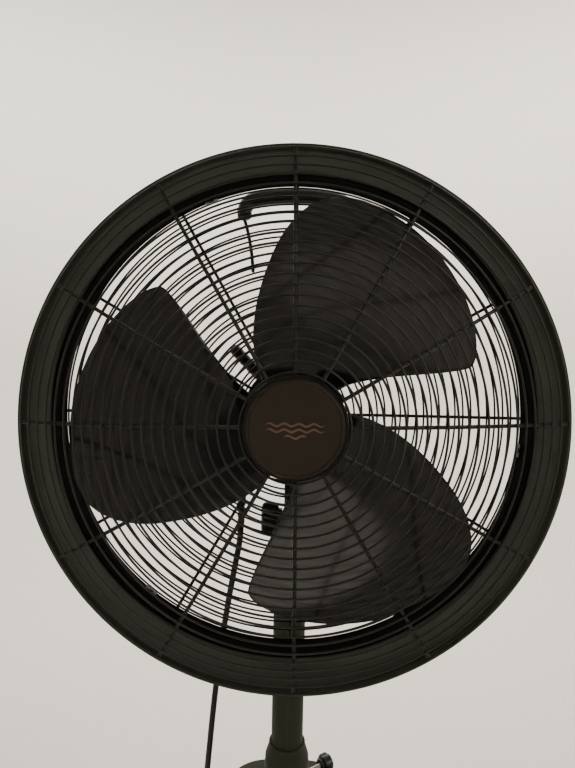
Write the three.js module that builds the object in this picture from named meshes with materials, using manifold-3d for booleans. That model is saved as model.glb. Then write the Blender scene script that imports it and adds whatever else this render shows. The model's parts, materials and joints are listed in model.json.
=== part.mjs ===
// A pedestal fan: a drum-shaped head on a tilt joint, a mast with a control housing, and a weighted base.
// Millimetres, +Z up. The fan blows towards -Y. The origin is on the floor under the middle of the base.
import * as THREE from "three";
import { mergeVertices } from "three/addons/utils/BufferGeometryUtils.js";
import Module from "manifold-3d";

const wasm = await Module();
wasm.setup();

// ---- Driving dimensions ----
const gap = 0.3; // clearance between pieces that rest on each other

// Sides of the turned pieces
const drumSides = 36;
const baseSides = 32;
const fineSides = 24;
const tubeSides = 20;
const hiddenSides = 16;
const boltSides = 12;

const pivotHeight = 1108; // tilt pivot above the floor
const upperTubeTop = pivotHeight - 59.7;
const axisRise = 132; // blade axis above the tilt pivot
const restTilt = 4; // degrees that the head faces up at rest

const rimY = -175; // front face of the shroud, measured from the pivot
const rimRadius = 250;
const drumRadius = 243; // inside of the shroud's wall
const drumDepth = 97;
const drumWall = 1.6;

const grilleSpokes = 12;
const grilleThickness = 3;
const spokeHalfWidth = 3.5;
const frontDomeRise = 52;
const frontDomePower = 2.2;
const rearDomeRise = 11.6;
const frontGrilleTurn = -0.8; // degrees clockwise

const badgeRadius = 40;

const bladeCount = 3;
const bladeRoot = 33;
const bladeTip = 218;
const bladeMiddleY = -130; // axial middle of the blades
const bladeSweepDepth = 62; // axial distance from a blade's rear edge to its front edge
const bladeThickness = 2.4;
const bladeCamber = 6;
const bladeRestAngle = 14; // degrees clockwise from the top, where the first blade's centre line starts

const motorRadius = 46;
const motorFrontY = -58;
const motorSeamY = 30;
const motorEndY = 58;
const shaftRadius = 5;
const gripRadius = 8.5;

const upperTubeRadius = 19.5;
const innerTubeRadius = 17;
const outerTubeRadius = 21;
const tubeWall = 1.5;

const housingWidth = 160;
const housingDepth = 122;
const housingCorner = 55;
const housingBottom = 557;
const housingTop = 753.5;
const housingWall = 2.5;
const housingBevel = 6;
const knobHeight = 662; // speed knob's axis above the floor

const dialRadius = 34;
const mainsGlandHeight = 585;
const mastClampHeight = [596, 622];

const baseRadius = 200; // the weight inside the base cover
const padRadius = 205;
const padTop = 5;
const plateThickness = 7;
const outerTubeBottom = 24;
const outerTubeTop = 470;

const leadDiameter = 7.5;
const leadBore = leadDiameter / 2 + 0.4; // inside of a strain relief
const glandHole = 6.5; // radius of the hole that a strain relief sits in
const leadY = 10; // the motor lead hangs in this plane, behind the mast's axis
const leadStartX = -61;
const leadGlandX = -46;

const neckKnobAngle = 33; // degrees behind the fan's right-hand side
const neckKnobHeight = 768;
const sleeveRadius = 27.8;
const sleeveTop = 798;

const footHalfWidth = 8.5; // the motor foot sits between the bracket's ear and the knob
const tiltBoltRadius = 4;
const earThickness = 11;
const earInner = footHalfWidth + gap;
const earOuter = earInner + earThickness;
const tiltKnobInner = -10.6;
const tiltKnobLength = 25;

// ---- Finishes ----
const finish = (color, roughness, metalness) =>
  new THREE.MeshStandardMaterial({ color, roughness, metalness });
const shroudPaint = finish(0x2b2d27, 0.62, 0.3);
const blackPaint = finish(0x141512, 0.45, 0.3);
const blackPlastic = finish(0x100f0e, 0.4, 0);
const bladePlastic = finish(0x0b0a0a, 0.15, 0);
const badgePlastic = finish(0x2a221b, 0.6, 0);
const steel = finish(0x9a9a98, 0.35, 0.9);
const darkSteel = finish(0x3a3a3a, 0.5, 0.8);
const copper = finish(0xb06a3a, 0.4, 0.9);
const castAluminium = finish(0x25261f, 0.55, 0.5);
const rubber = finish(0x0c0c0c, 0.85, 0);
const nylon = finish(0xd8d5c8, 0.6, 0);

// ---- Solid helpers ----
const radians = THREE.MathUtils.degToRad;

function solid(geometry) {
  const source = geometry.index ? geometry.toNonIndexed() : geometry;
  const bare = new THREE.BufferGeometry();
  bare.setAttribute("position", source.getAttribute("position"));
  const merged = mergeVertices(bare, 1e-4);
  const make = (triVerts) =>
    new wasm.Manifold(
      new wasm.Mesh({ numProp: 3, vertProperties: merged.attributes.position.array, triVerts }),
    );
  const triangles = new Uint32Array(merged.index.array);
  const made = make(triangles);
  return made.volume() > 0 ? made : make(triangles.reverse());
}

const moved = (piece, x, y, z) => piece.translate([x, y, z]);
const turned = (piece, x, y, z) => piece.rotate([x, y, z]);
const join = (first, ...rest) => rest.reduce((sum, piece) => sum.add(piece), first);
const cut = (first, ...rest) => rest.reduce((left, piece) => left.subtract(piece), first);

function add(group, name, piece, material) {
  const mesh = piece.getMesh();
  const geometry = new THREE.BufferGeometry();
  geometry.setAttribute("position", new THREE.BufferAttribute(mesh.vertProperties, 3));
  geometry.setIndex(new THREE.BufferAttribute(mesh.triVerts, 1));
  geometry.computeVertexNormals();
  const made = new THREE.Mesh(geometry, material);
  made.name = name;
  group.add(made);
}

// A profile of [radius, place along the axis] turned round Y. It is closed unless it ends on the axis.
function turnedRoundY(profile, sides) {
  const points = profile.map(([r, y]) => new THREE.Vector2(r, y));
  const onAxis = profile[0][0] === 0 && profile[profile.length - 1][0] === 0;
  if (!onAxis) points.push(points[0].clone());
  return solid(new THREE.LatheGeometry(points, sides));
}

const turnedRoundZ = (profile, sides) => turned(turnedRoundY(profile, sides), 90, 0, 0);
const turnedRoundX = (profile, sides) => turned(turnedRoundY(profile, sides), 0, 0, -90);

const rod = (radius, from, to) => [
  [0, from],
  [radius, from],
  [radius, to],
  [0, to],
];
const pipe = (inner, outer, from, to) => [
  [inner, from],
  [outer, from],
  [outer, to],
  [inner, to],
];

function box(x0, x1, y0, y1, z0, z1) {
  const geometry = new THREE.BoxGeometry(x1 - x0, y1 - y0, z1 - z0);
  return moved(solid(geometry), (x0 + x1) / 2, (y0 + y1) / 2, (z0 + z1) / 2);
}

// A section swept along smooth points, with a step about every `step` millimetres.
function swept(points, radius, sides, step) {
  const path = new THREE.CatmullRomCurve3(points.map((p) => new THREE.Vector3(...p)));
  const section = new THREE.Shape();
  for (let i = 0; i < sides; i++) {
    const angle = (2 * Math.PI * i) / sides;
    const place = [radius * Math.cos(angle), radius * Math.sin(angle)];
    if (i === 0) section.moveTo(...place);
    else section.lineTo(...place);
  }
  const steps = Math.max(2, Math.round(path.getLength() / step));
  return solid(new THREE.ExtrudeGeometry(section, { steps, bevelEnabled: false, extrudePath: path }));
}

// A flat outline in the YZ plane, given thickness along X.
function slabAlongX(shape, x0, x1) {
  const geometry = new THREE.ExtrudeGeometry(shape, {
    depth: x1 - x0,
    bevelEnabled: false,
    curveSegments: 12,
  });
  geometry.rotateX(Math.PI / 2);
  geometry.rotateZ(Math.PI / 2);
  return moved(solid(geometry), x0, 0, 0);
}

// ---- Groups ----
const fan = new THREE.Group();
const head = new THREE.Group(); // its origin is the tilt pivot
head.position.set(0, 0, pivotHeight);
head.rotation.x = -radians(restTilt);
fan.add(head);
const onAxis = new THREE.Group(); // its origin is on the blade axis, above the pivot
onAxis.position.set(0, 0, axisRise);
head.add(onAxis);

// ---- Base ----
function buildBase() {
  const plateBottom = padTop + gap;
  const plateTop = plateBottom + plateThickness;
  const boltRadius = 6;
  const boltHole = boltRadius + 0.4;
  const headRadius = 12;
  const headTop = 9.2;
  const pocket = headRadius + 1;
  const pocketTop = headTop + gap;
  add(fan, "base_pad", turnedRoundZ(rod(padRadius, 0, padTop), baseSides), rubber);
  const plate = [
    [pocket, plateBottom],
    [baseRadius, plateBottom],
    [baseRadius, plateTop - 2],
    [baseRadius - 2, plateTop],
    [boltHole, plateTop],
    [boltHole, pocketTop],
    [pocket, pocketTop],
  ];
  add(fan, "base_plate", turnedRoundZ(plate, baseSides), darkSteel);
  const bolt = [
    [0, plateBottom],
    [headRadius, plateBottom],
    [headRadius, headTop],
    [boltRadius, headTop],
    [boltRadius, 48],
    [0, 48],
  ];
  add(fan, "base_bolt", turnedRoundZ(bolt, boltSides), steel);
  const plugRadius = outerTubeRadius - tubeWall - 0.5;
  const flangeTop = outerTubeBottom - gap;
  const foot = [
    [boltHole, plateTop + gap],
    [30, plateTop + gap],
    [30, flangeTop],
    [plugRadius, flangeTop],
    [plugRadius, 60],
    [boltHole, 60],
  ];
  add(fan, "tube_foot", turnedRoundZ(foot, hiddenSides), castAluminium);
  const outer = [
    [220, 5.6],
    [220.5, 14],
    [213, 22],
    [150, 27],
    [90, 34],
    [56, 44],
    [38, 60],
    [29, 92],
    [outerTubeRadius + 0.5, 94],
  ];
  const inner = [
    [outerTubeRadius + 0.5, 92],
    [27.6, 90],
    [36.4, 58.8],
    [55, 42.4],
    [89.6, 32.3],
    [149.8, 25.3],
    [212.2, 20.4],
    [218.6, 13.4],
    [218.4, 5.6],
  ];
  const cover = [...outer, ...inner];
  add(fan, "base_cover", turnedRoundZ(cover, baseSides), shroudPaint);
}

// ---- Telescopic tube ----
function buildTubes() {
  const bore = outerTubeRadius - tubeWall;
  const outer = pipe(bore, outerTubeRadius, outerTubeBottom, outerTubeTop);
  add(fan, "outer_tube", turnedRoundZ(outer, tubeSides), shroudPaint);
  const bushing = [
    [innerTubeRadius + 0.4, 420],
    [bore - gap, 420],
    [bore - gap, outerTubeTop + gap],
    [outerTubeRadius, outerTubeTop + gap],
    [outerTubeRadius, outerTubeTop + 3],
    [innerTubeRadius + 0.4, outerTubeTop + 3],
  ];
  add(fan, "tube_bushing", turnedRoundZ(bushing, hiddenSides), nylon);
  const collar = [
    [outerTubeRadius + 0.5, 438],
    [27, 438],
    [28, 444],
    [28, 474],
    [24, 486],
    [innerTubeRadius + 0.6, 486],
    [innerTubeRadius + 0.6, 476],
    [outerTubeRadius + 0.5, 476],
  ];
  add(fan, "height_collar", turnedRoundZ(collar, tubeSides), blackPlastic);
  const innerBore = innerTubeRadius - tubeWall;
  const inner = pipe(innerBore, innerTubeRadius, 150, 780);
  add(fan, "inner_tube", turnedRoundZ(inner, hiddenSides), steel);
  const slider = [
    [0, 138],
    [bore - 0.5, 138],
    [bore - 0.5, 149.7],
    [innerBore - gap, 149.7],
    [innerBore - gap, 175],
    [0, 175],
  ];
  add(fan, "slider_foot", turnedRoundZ(slider, hiddenSides), nylon);
}

// ---- Control housing ----
function roundedPrism(width, depth, corner, bevel, bottom, top) {
  const x = width / 2 - bevel;
  const y = depth / 2 - bevel;
  const r = corner - bevel;
  const shape = new THREE.Shape();
  shape.moveTo(-x + r, -y);
  shape.lineTo(x - r, -y);
  shape.absarc(x - r, -y + r, r, -Math.PI / 2, 0);
  shape.absarc(x - r, y - r, r, 0, Math.PI / 2);
  shape.absarc(-x + r, y - r, r, Math.PI / 2, Math.PI);
  shape.absarc(-x + r, -y + r, r, Math.PI, 1.5 * Math.PI);
  const geometry = new THREE.ExtrudeGeometry(shape, {
    depth: top - bottom - 2 * bevel,
    bevelEnabled: bevel > 0,
    bevelSize: bevel,
    bevelThickness: bevel,
    bevelSegments: 2,
    curveSegments: 6,
  });
  return moved(solid(geometry), 0, 0, bottom + bevel);
}

function buildHousing() {
  const wall = housingWall;
  const front = -housingDepth / 2;
  const outside = roundedPrism(
    housingWidth, housingDepth, housingCorner, housingBevel, housingBottom, housingTop,
  );
  const inside = roundedPrism(
    housingWidth - 2 * wall, housingDepth - 2 * wall, housingCorner - wall, 0,
    housingBottom + wall, housingTop - wall,
  );
  const throughFloor = (radius) => turnedRoundZ(rod(radius, housingBottom - 5, housingBottom + 10), 16);
  const tubeHole = throughFloor(innerTubeRadius + 0.6);
  const leadHole = moved(throughFloor(glandHole), leadGlandX, leadY, 0);
  const sleeveHole = turnedRoundZ(rod(sleeveRadius + 0.5, housingTop - 10, housingTop + 5), fineSides);
  const switchHole = moved(turnedRoundY(rod(5, front - 5, front + 10), 16), 0, 0, knobHeight);
  const mainsBore = turnedRoundY(rod(glandHole, -front - 10, -front + 5), 16);
  const mainsHole = moved(mainsBore, 0, 0, mainsGlandHeight);
  const shell = cut(outside, inside, tubeHole, sleeveHole, switchHole, leadHole, mainsHole);
  const frontHalf = box(-100, 100, -100, -gap / 2, 500, 800);
  const rearHalf = box(-100, 100, gap / 2, 100, 500, 800);
  add(fan, "housing_front", shell.intersect(frontHalf), shroudPaint);
  add(fan, "housing_rear", shell.intersect(rearHalf), shroudPaint);

  const dial = turnedRoundY(pipe(5, dialRadius, front - 2, front - gap), fineSides);
  add(fan, "dial_plate", moved(dial, 0, 0, knobHeight), badgePlastic);
  const shaftHole = moved(turnedRoundY(rod(3.6, front, front + 22), boltSides), 0, 0, knobHeight);
  const block = box(-18, 18, front + wall + 1, front + 32, knobHeight - 18, knobHeight + 18);
  add(fan, "switch_block", cut(block, shaftHole), blackPlastic);
  const shaft = turnedRoundY(rod(3, front - 20, front + 20), boltSides);
  add(fan, "switch_shaft", moved(shaft, 0, 0, knobHeight), steel);
  const knob = [
    [0, front - 26],
    [19, front - 25],
    [22, front - 14],
    [23, front - 2.6],
    [0, front - 2.6],
  ];
  const pointer = box(-4, 4, front - 30, front - 20, -18, 18);
  const bore = turnedRoundY(rod(3.3, front - 20.5, front), boltSides);
  const knobBody = cut(join(turnedRoundY(knob, fineSides), pointer), bore);
  add(fan, "speed_knob", moved(knobBody, 0, 0, knobHeight), blackPlastic);

  const [clampBottom, clampTop] = mastClampHeight;
  const clampRing = turnedRoundZ(rod(26, clampBottom, clampTop), hiddenSides);
  const clampArm = box(-18, 18, 18, housingDepth / 2 - wall - gap, clampBottom, clampTop);
  const clampBore = turnedRoundZ(rod(innerTubeRadius + gap, clampBottom - 5, clampTop + 5), fineSides);
  add(fan, "mast_clamp", cut(join(clampRing, clampArm), clampBore), castAluminium);

  const gland = (length) => [
    [leadBore, 3],
    [6, 3],
    [6, -wall - gap],
    [10, -wall - gap],
    [10, -wall - 6],
    [6.5, -wall - length],
    [leadBore, -wall - length],
  ];
  const leadGland = turnedRoundZ(gland(30), boltSides);
  add(fan, "lead_gland", moved(leadGland, leadGlandX, leadY, housingBottom + wall), rubber);
  const mainsGland = turned(turnedRoundY(gland(12), boltSides), 180, 0, 0);
  add(fan, "mains_gland", moved(mainsGland, 0, -front - wall, mainsGlandHeight), rubber);
}

// ---- Neck, with the clamp that holds the upper tube ----
function buildNeck() {
  const tubeBore = upperTubeRadius + 0.4;
  const sleeve = [
    [tubeBore, housingTop - 9],
    [sleeveRadius + 6, housingTop - 9],
    [sleeveRadius + 6, housingTop - housingWall - gap],
    [sleeveRadius, housingTop - housingWall - gap],
    [sleeveRadius, sleeveTop],
    [tubeBore, sleeveTop],
  ];
  const outwards = (piece) => moved(turned(piece, 0, 0, neckKnobAngle), 0, 0, neckKnobHeight);
  const studHole = outwards(turnedRoundX(rod(3.4, 15, 30), boltSides));
  add(fan, "neck_sleeve", cut(turnedRoundZ(sleeve, fineSides), studHole), blackPlastic);
  const collar = [
    [tubeBore, sleeveTop + gap],
    [27, sleeveTop + gap],
    [27, sleeveTop + 9],
    [22.6, sleeveTop + 21],
    [22.6, sleeveTop + 27],
    [tubeBore, sleeveTop + 27],
  ];
  add(fan, "neck_collar", turnedRoundZ(collar, fineSides), shroudPaint);
  const stud = turnedRoundX(rod(3, upperTubeRadius + gap, 62), boltSides);
  add(fan, "neck_stud", outwards(stud), steel);
  const bore = turnedRoundX(rod(3.3, 50, 62.5), boltSides);
  const knob = turned(lobedKnob(12, 7, 1.6, 16), 0, 90, 0);
  add(fan, "neck_knob", outwards(cut(moved(knob, 52, 0, 0), bore)), blackPlastic);

  const tube = pipe(upperTubeRadius - tubeWall, upperTubeRadius, housingTop - 2, upperTubeTop);
  add(fan, "upper_tube", turnedRoundZ(tube, tubeSides), shroudPaint);
}

// A hand knob with round lobes, standing on the XY plane with its axis along Z.
function lobedKnob(radius, lobes, lobeDepth, length) {
  const shape = new THREE.Shape();
  const points = 4 * lobes;
  for (let i = 0; i < points; i++) {
    const angle = (2 * Math.PI * i) / points;
    const r = radius - lobeDepth * (0.5 + 0.5 * Math.cos(lobes * angle));
    const place = [r * Math.cos(angle), r * Math.sin(angle)];
    if (i === 0) shape.moveTo(...place);
    else shape.lineTo(...place);
  }
  return solid(new THREE.ExtrudeGeometry(shape, { depth: length, bevelEnabled: false }));
}

// ---- Tilt joint: the bracket and bolt on the tube, the foot under the motor, and the knob ----
const tiltBoltHole = (x0, x1) => turnedRoundX(rod(tiltBoltRadius + gap, x0, x1), hiddenSides);

function buildTiltJoint() {
  const ear = new THREE.Shape();
  ear.moveTo(-15, -52);
  ear.lineTo(-15, 0);
  ear.absarc(0, 0, 15, Math.PI, 0, true);
  ear.lineTo(15, -52);
  const plug = [
    [0, upperTubeTop - 33],
    [upperTubeRadius - tubeWall - gap, upperTubeTop - 33],
    [upperTubeRadius - tubeWall - gap, upperTubeTop + gap],
    [20.5, upperTubeTop + gap],
    [20.5, upperTubeTop + 11],
    [18, upperTubeTop + 14],
    [0, upperTubeTop + 14],
  ];
  const earSlab = cut(slabAlongX(ear, earInner, earOuter), tiltBoltHole(earInner - 5, earOuter + 5));
  const bracket = join(turnedRoundZ(plug, tubeSides), moved(earSlab, 0, 0, pivotHeight));
  add(fan, "tilt_bracket", bracket, castAluminium);

  const bolt = [
    [0, tiltKnobInner - 18],
    [tiltBoltRadius, tiltKnobInner - 18],
    [tiltBoltRadius, earOuter + gap],
    [8, earOuter + gap],
    [8, earOuter + 6],
    [0, earOuter + 6],
  ];
  add(fan, "tilt_bolt", moved(turnedRoundX(bolt, boltSides), 0, 0, pivotHeight), steel);
  const knob = moved(turned(lobedKnob(20.5, 6, 2.5, tiltKnobLength), 0, -90, 0), tiltKnobInner, 0, 0);
  const knobWithBore = cut(knob, tiltBoltHole(tiltKnobInner - 19, tiltKnobInner + 1));
  add(fan, "tilt_knob", moved(knobWithBore, 0, 0, pivotHeight), blackPlastic);

  const top = axisRise - motorRadius - 0.5;
  const foot = new THREE.Shape();
  foot.moveTo(-16, 0);
  foot.lineTo(-16, top - 26);
  foot.quadraticCurveTo(-17, top - 8, -30, top - 6);
  foot.lineTo(-30, top);
  foot.lineTo(30, top);
  foot.lineTo(30, top - 6);
  foot.quadraticCurveTo(17, top - 8, 16, top - 26);
  foot.lineTo(16, 0);
  foot.absarc(0, 0, 16, 0, -Math.PI, true);
  const footSlab = slabAlongX(foot, -footHalfWidth, footHalfWidth);
  add(head, "motor_foot", cut(footSlab, tiltBoltHole(-20, 20)), castAluminium);
}

// ---- Motor ----
function buildMotor() {
  const bearingSeat = 11.3;
  const y0 = motorFrontY;
  const housing = [
    [bearingSeat, y0],
    [42, y0],
    [motorRadius, y0 + 4],
    [motorRadius, motorSeamY],
    [motorRadius - 2, motorSeamY],
    [motorRadius - 2, y0 + 5],
    [14, y0 + 3],
    [14, y0 + 14],
    [bearingSeat, y0 + 14],
  ];
  add(onAxis, "motor_housing", turnedRoundY(housing, fineSides), blackPaint);
  const cover = [
    [0, motorEndY],
    [26, motorEndY - 1],
    [38, motorEndY - 6],
    [motorRadius, motorEndY - 18],
    [motorRadius, motorSeamY + gap],
    [motorRadius - 2.4, motorSeamY + gap],
    [motorRadius - 2.4, motorSeamY - 6],
    [motorRadius - 4.4, motorSeamY - 6],
    [motorRadius - 4.4, motorEndY - 19],
    [36, motorEndY - 9],
    [14, motorEndY - 4.5],
    [14, motorSeamY],
    [bearingSeat, motorSeamY],
    [bearingSeat, motorEndY - 13],
    [0, motorEndY - 13],
  ];
  const slots = [];
  const slotCount = 8;
  for (let i = 0; i < slotCount; i++) {
    const airSlot = box(-2, 2, motorEndY - 16, motorEndY + 2, 24, 41);
    slots.push(turned(airSlot, 0, (360 * i) / slotCount, 0));
  }
  add(onAxis, "motor_end_cover", cut(turnedRoundY(cover, fineSides), ...slots), blackPaint);

  add(onAxis, "stator_core", turnedRoundY(pipe(28, motorRadius - 2.6, -30, 12), fineSides), darkSteel);
  const winding = (from, to) => [
    [30, from],
    [39, from],
    [41, from + 3],
    [41, to - 3],
    [39, to],
    [30, to],
  ];
  add(onAxis, "winding_front", turnedRoundY(winding(-42, -30.3), hiddenSides), copper);
  add(onAxis, "winding_rear", turnedRoundY(winding(12.3, 22), hiddenSides), copper);
  const bearing = (from) =>
    turnedRoundY(pipe(shaftRadius + gap, bearingSeat - gap, from, from + 9), hiddenSides);
  add(onAxis, "bearing_front", bearing(y0 + 3), steel);
  add(onAxis, "bearing_rear", bearing(motorSeamY + 2), steel);

  const boxX = [-76, -46.8];
  const boxZ = [-82, -20];
  const boxWall = 2;
  const boxY = [-22, 34];
  const hollow = box(
    boxX[0] + boxWall, boxX[1] + 1,
    boxY[0] + boxWall, boxY[1] - boxWall,
    boxZ[0] + boxWall, boxZ[1] - boxWall,
  );
  const outlet = moved(turnedRoundZ(rod(glandHole, boxZ[0] - 1, boxZ[0] + 3), 16), leadStartX, leadY, 0);
  add(onAxis, "terminal_box", cut(box(...boxX, ...boxY, ...boxZ), hollow, outlet), blackPlastic);
  const capacitor = turnedRoundY(rod(9, -16, 28), 16);
  add(onAxis, "capacitor", moved(capacitor, leadStartX, 0, -36), steel);
  const relief = [
    [leadBore, boxZ[0] + 6],
    [6, boxZ[0] + 6],
    [6, boxZ[0] - gap],
    [9, boxZ[0] - gap],
    [9, boxZ[0] - 8],
    [6.2, boxZ[0] - 10],
    [5.2, boxZ[0] - 60],
    [leadBore, boxZ[0] - 60],
  ];
  add(onAxis, "motor_gland", moved(turnedRoundZ(relief, boltSides), leadStartX, leadY, 0), rubber);
}

// ---- Motor lead: its route in the fan's own frame, from the strain relief down to the housing ----
const leadRoute = [
  [leadStartX, 9.2, 1096.9],
  [-62.6, 7.9, 1076],
  [-67.4, 7.2, 1048],
  [-74, 7.2, 1010],
  [-80.2, 8, 970],
  [-85.7, 9, 930],
  [-90.4, 10, 890],
  [-94.4, 10, 850],
  [-98, 10, 810],
  [-101.4, 10, 770],
  [-104.2, 10, 730],
  [-106.2, 10, 690],
  [-107.4, 10, 650],
  [-107.9, 10, 610],
  [-107.9, 10, 570],
  [-107.7, 10, 535],
  [-107.5, 10, 512],
  [-104.6, 10, 495],
  [-96.5, 10, 484.4],
  [-84.7, 10, 478.3],
  [-68.8, 10, 478.3],
  [-57, 10, 484.4],
  [-48.9, 10, 495],
  [-46.2, 10, 508],
  [leadGlandX, leadY, 526.4],
];

// ---- Shroud, its inner ring and the clips ----
function buildShroud() {
  const rear = rimY + drumDepth;
  const outside = drumRadius + drumWall;
  const profile = [
    [drumRadius, rear],
    [drumRadius, rimY + 3],
    [drumRadius + 2, rimY],
    [rimRadius - 2, rimY],
    [rimRadius, rimY + 3],
    [rimRadius - 1.5, rimY + 6.2],
    [outside, rimY + 8],
    [outside, rear - 4],
    [outside + 2, rear - 3],
    [outside + 2, rear],
  ];
  add(onAxis, "shroud", turnedRoundY(profile, drumSides), shroudPaint);
  const ringOutside = drumRadius - 0.6;
  const ringInside = drumRadius - 1.8;
  const ring = [
    [ringInside, rear - 37],
    [ringOutside, rear - 37],
    [ringOutside, rear],
    [ringInside, rear],
    [ringInside, rear - 16],
    [ringInside - 0.8, rear - 18],
    [ringInside, rear - 20],
  ];
  add(onAxis, "rear_ring", turnedRoundY(ring, drumSides), blackPlastic);
  const clipCount = 3;
  const firstClip = 98; // degrees clockwise from the top
  for (let i = 0; i < clipCount; i++) {
    const clip = box(-7, 7, rear - 12, rear - 1, ringInside - 5.6, ringInside - 1.4);
    const place = turned(clip, 0, firstClip + (360 * i) / clipCount, 0);
    add(onAxis, "grille_clip_" + (i + 1), place, blackPaint);
  }
}

// ---- Grilles: a domed plate with a window between every two spokes and rings ----
// rings lists the inner and outer radius of each solid ring. The plate is cut into rows along the radius
// and three columns for each spoke, and only the cells that hold metal get faces.
function grille(rings, turn, dome) {
  const columns = 3 * grilleSpokes;
  const radii = rings.flat();
  const rows = radii.length - 1;
  const positions = [];
  for (const layer of [0, 1]) {
    for (const r of radii) {
      for (let column = 0; column < columns; column++) {
        const spoke = radians(turn + (360 * Math.floor(column / 3)) / grilleSpokes);
        const edge = Math.asin(spokeHalfWidth / r);
        const angle = spoke + [-edge, edge, Math.PI / grilleSpokes][column % 3];
        positions.push(r * Math.sin(angle), dome(r) - layer * grilleThickness, r * Math.cos(angle));
      }
    }
  }
  const corner = (layer, row, column) => (layer * (rows + 1) + row) * columns + (column % columns);
  const isSolid = (row, column) =>
    row >= 0 && row < rows && (row % 2 === 0 || ((column + columns) % columns) % 3 === 0);
  const faces = [];
  const quad = (p, q, r, s) => faces.push(p, q, r, p, r, s);
  const wall = (row0, column0, row1, column1) =>
    quad(
      corner(0, row0, column0), corner(0, row1, column1),
      corner(1, row1, column1), corner(1, row0, column0),
    );
  for (let row = 0; row < rows; row++) {
    for (let column = 0; column < columns; column++) {
      if (!isSolid(row, column)) continue;
      const next = column + 1;
      const [back, front] = [0, 1].map((layer) => [
        corner(layer, row, column),
        corner(layer, row, next),
        corner(layer, row + 1, next),
        corner(layer, row + 1, column),
      ]);
      quad(...back);
      quad(...front.reverse());
      if (!isSolid(row - 1, column)) wall(row, next, row, column);
      if (!isSolid(row + 1, column)) wall(row + 1, column, row + 1, next);
      if (!isSolid(row, column - 1)) wall(row, column, row + 1, column);
      if (!isSolid(row, next)) wall(row + 1, next, row, next);
    }
  }
  const geometry = new THREE.BufferGeometry();
  geometry.setAttribute("position", new THREE.Float32BufferAttribute(positions, 3));
  geometry.setIndex(faces);
  return solid(geometry);
}

function buildGrilles() {
  const edge = rimRadius - 1;
  const frontRings = [
    [5, badgeRadius + 3],
    [108, 115],
    [174, 181],
    [236, edge],
  ];
  const frontDome = (r) =>
    rimY - gap - frontDomeRise * (1 - Math.min(1, r / edge) ** frontDomePower);
  const front = grille(frontRings, frontGrilleTurn, frontDome);
  add(onAxis, "front_grille", front, blackPaint);

  const rearRings = [
    [42, 56],
    [116, 123],
    [178, 185],
    [238, edge],
  ];
  const rearBack = rimY + drumDepth + gap + grilleThickness + rearDomeRise;
  const rearDome = (r) => rearBack - rearDomeRise * (Math.max(0, r - 56) / (edge - 56)) ** 1.5;
  const rear = grille(rearRings, 0, rearDome);
  add(onAxis, "rear_grille", rear, blackPaint);
  const plate = pipe(12, 55, rearBack + gap, motorFrontY - gap);
  add(onAxis, "grille_plate", turnedRoundY(plate, fineSides), darkSteel);

  const badgeBack = rimY - frontDomeRise - grilleThickness - 0.6;
  const badge = [
    [0, badgeBack],
    [badgeRadius, badgeBack],
    [badgeRadius, badgeBack - 5],
    [badgeRadius - 2, badgeBack - 8],
    [badgeRadius - 4.5, badgeBack - 8],
    [badgeRadius - 6, badgeBack - 5.5],
    [0, badgeBack - 5.5],
  ];
  add(onAxis, "hub_badge", turnedRoundY(badge, baseSides), badgePlastic);
}

// ---- Rotor: shaft, core, hub, blades and lock nut ----
// Where a blade's edges are at radius r: its centre line and half width in degrees, and its two edges as shares
// of that half width. The front corner is rounded off over a longer stretch than the rear one.
function bladeOutline(r) {
  const along = Math.max(0, 1 - (r - 70) / 130);
  const centre = bladeRestAngle + 22 * (1 - along ** 1.6);
  const halfWidth = 46.5 - 0.07 * (r - 70);
  const farthest = bladeTip + 0.6;
  const front = Math.max(0, (r - 150) / (farthest - 150));
  const rear = Math.max(0, (r - 185) / (farthest - 185));
  const start = -0.2 - 0.8 * (1 - front ** 2.4) ** 0.26;
  const end = -0.2 + 1.2 * (1 - rear ** 2.4) ** 0.8;
  return { centre, halfWidth, start, end };
}

function blade(turn) {
  const radialSteps = 9;
  const chordSteps = 8;
  const sheet = [];
  for (let side = 0; side < 2; side++) {
    for (let i = 0; i <= radialSteps; i++) {
      const r = bladeRoot + (bladeTip - bladeRoot) * (1 - (1 - i / radialSteps) ** 1.5);
      const { centre, halfWidth, start, end } = bladeOutline(r);
      for (let j = 0; j <= chordSteps; j++) {
        const across = start + ((end - start) * j) / chordSteps;
        const angle = radians(centre + halfWidth * across + turn);
        const camber = bladeCamber * (1 - across * across);
        const y = bladeMiddleY + (bladeSweepDepth / 2) * across + camber;
        const offset = (side - 0.5) * bladeThickness;
        sheet.push(r * Math.sin(angle), y + offset, r * Math.cos(angle));
      }
    }
  }
  const row = chordSteps + 1;
  const layer = row * (radialSteps + 1);
  const faces = [];
  const quad = (a, b, c, d) => faces.push(a, b, c, a, c, d);
  for (let i = 0; i < radialSteps; i++) {
    for (let j = 0; j < chordSteps; j++) {
      const a = i * row + j;
      quad(a, a + 1, a + row + 1, a + row);
      quad(layer + a, layer + a + row, layer + a + row + 1, layer + a + 1);
    }
    const start = i * row;
    const end = start + chordSteps;
    quad(start, start + row, layer + start + row, layer + start);
    quad(end, layer + end, layer + end + row, end + row);
  }
  for (let j = 0; j < chordSteps; j++) {
    const tip = radialSteps * row + j;
    quad(j, layer + j, layer + j + 1, j + 1);
    quad(tip, tip + 1, layer + tip + 1, layer + tip);
  }
  const geometry = new THREE.BufferGeometry();
  geometry.setAttribute("position", new THREE.Float32BufferAttribute(sheet, 3));
  geometry.setIndex(faces);
  return solid(geometry);
}

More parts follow.
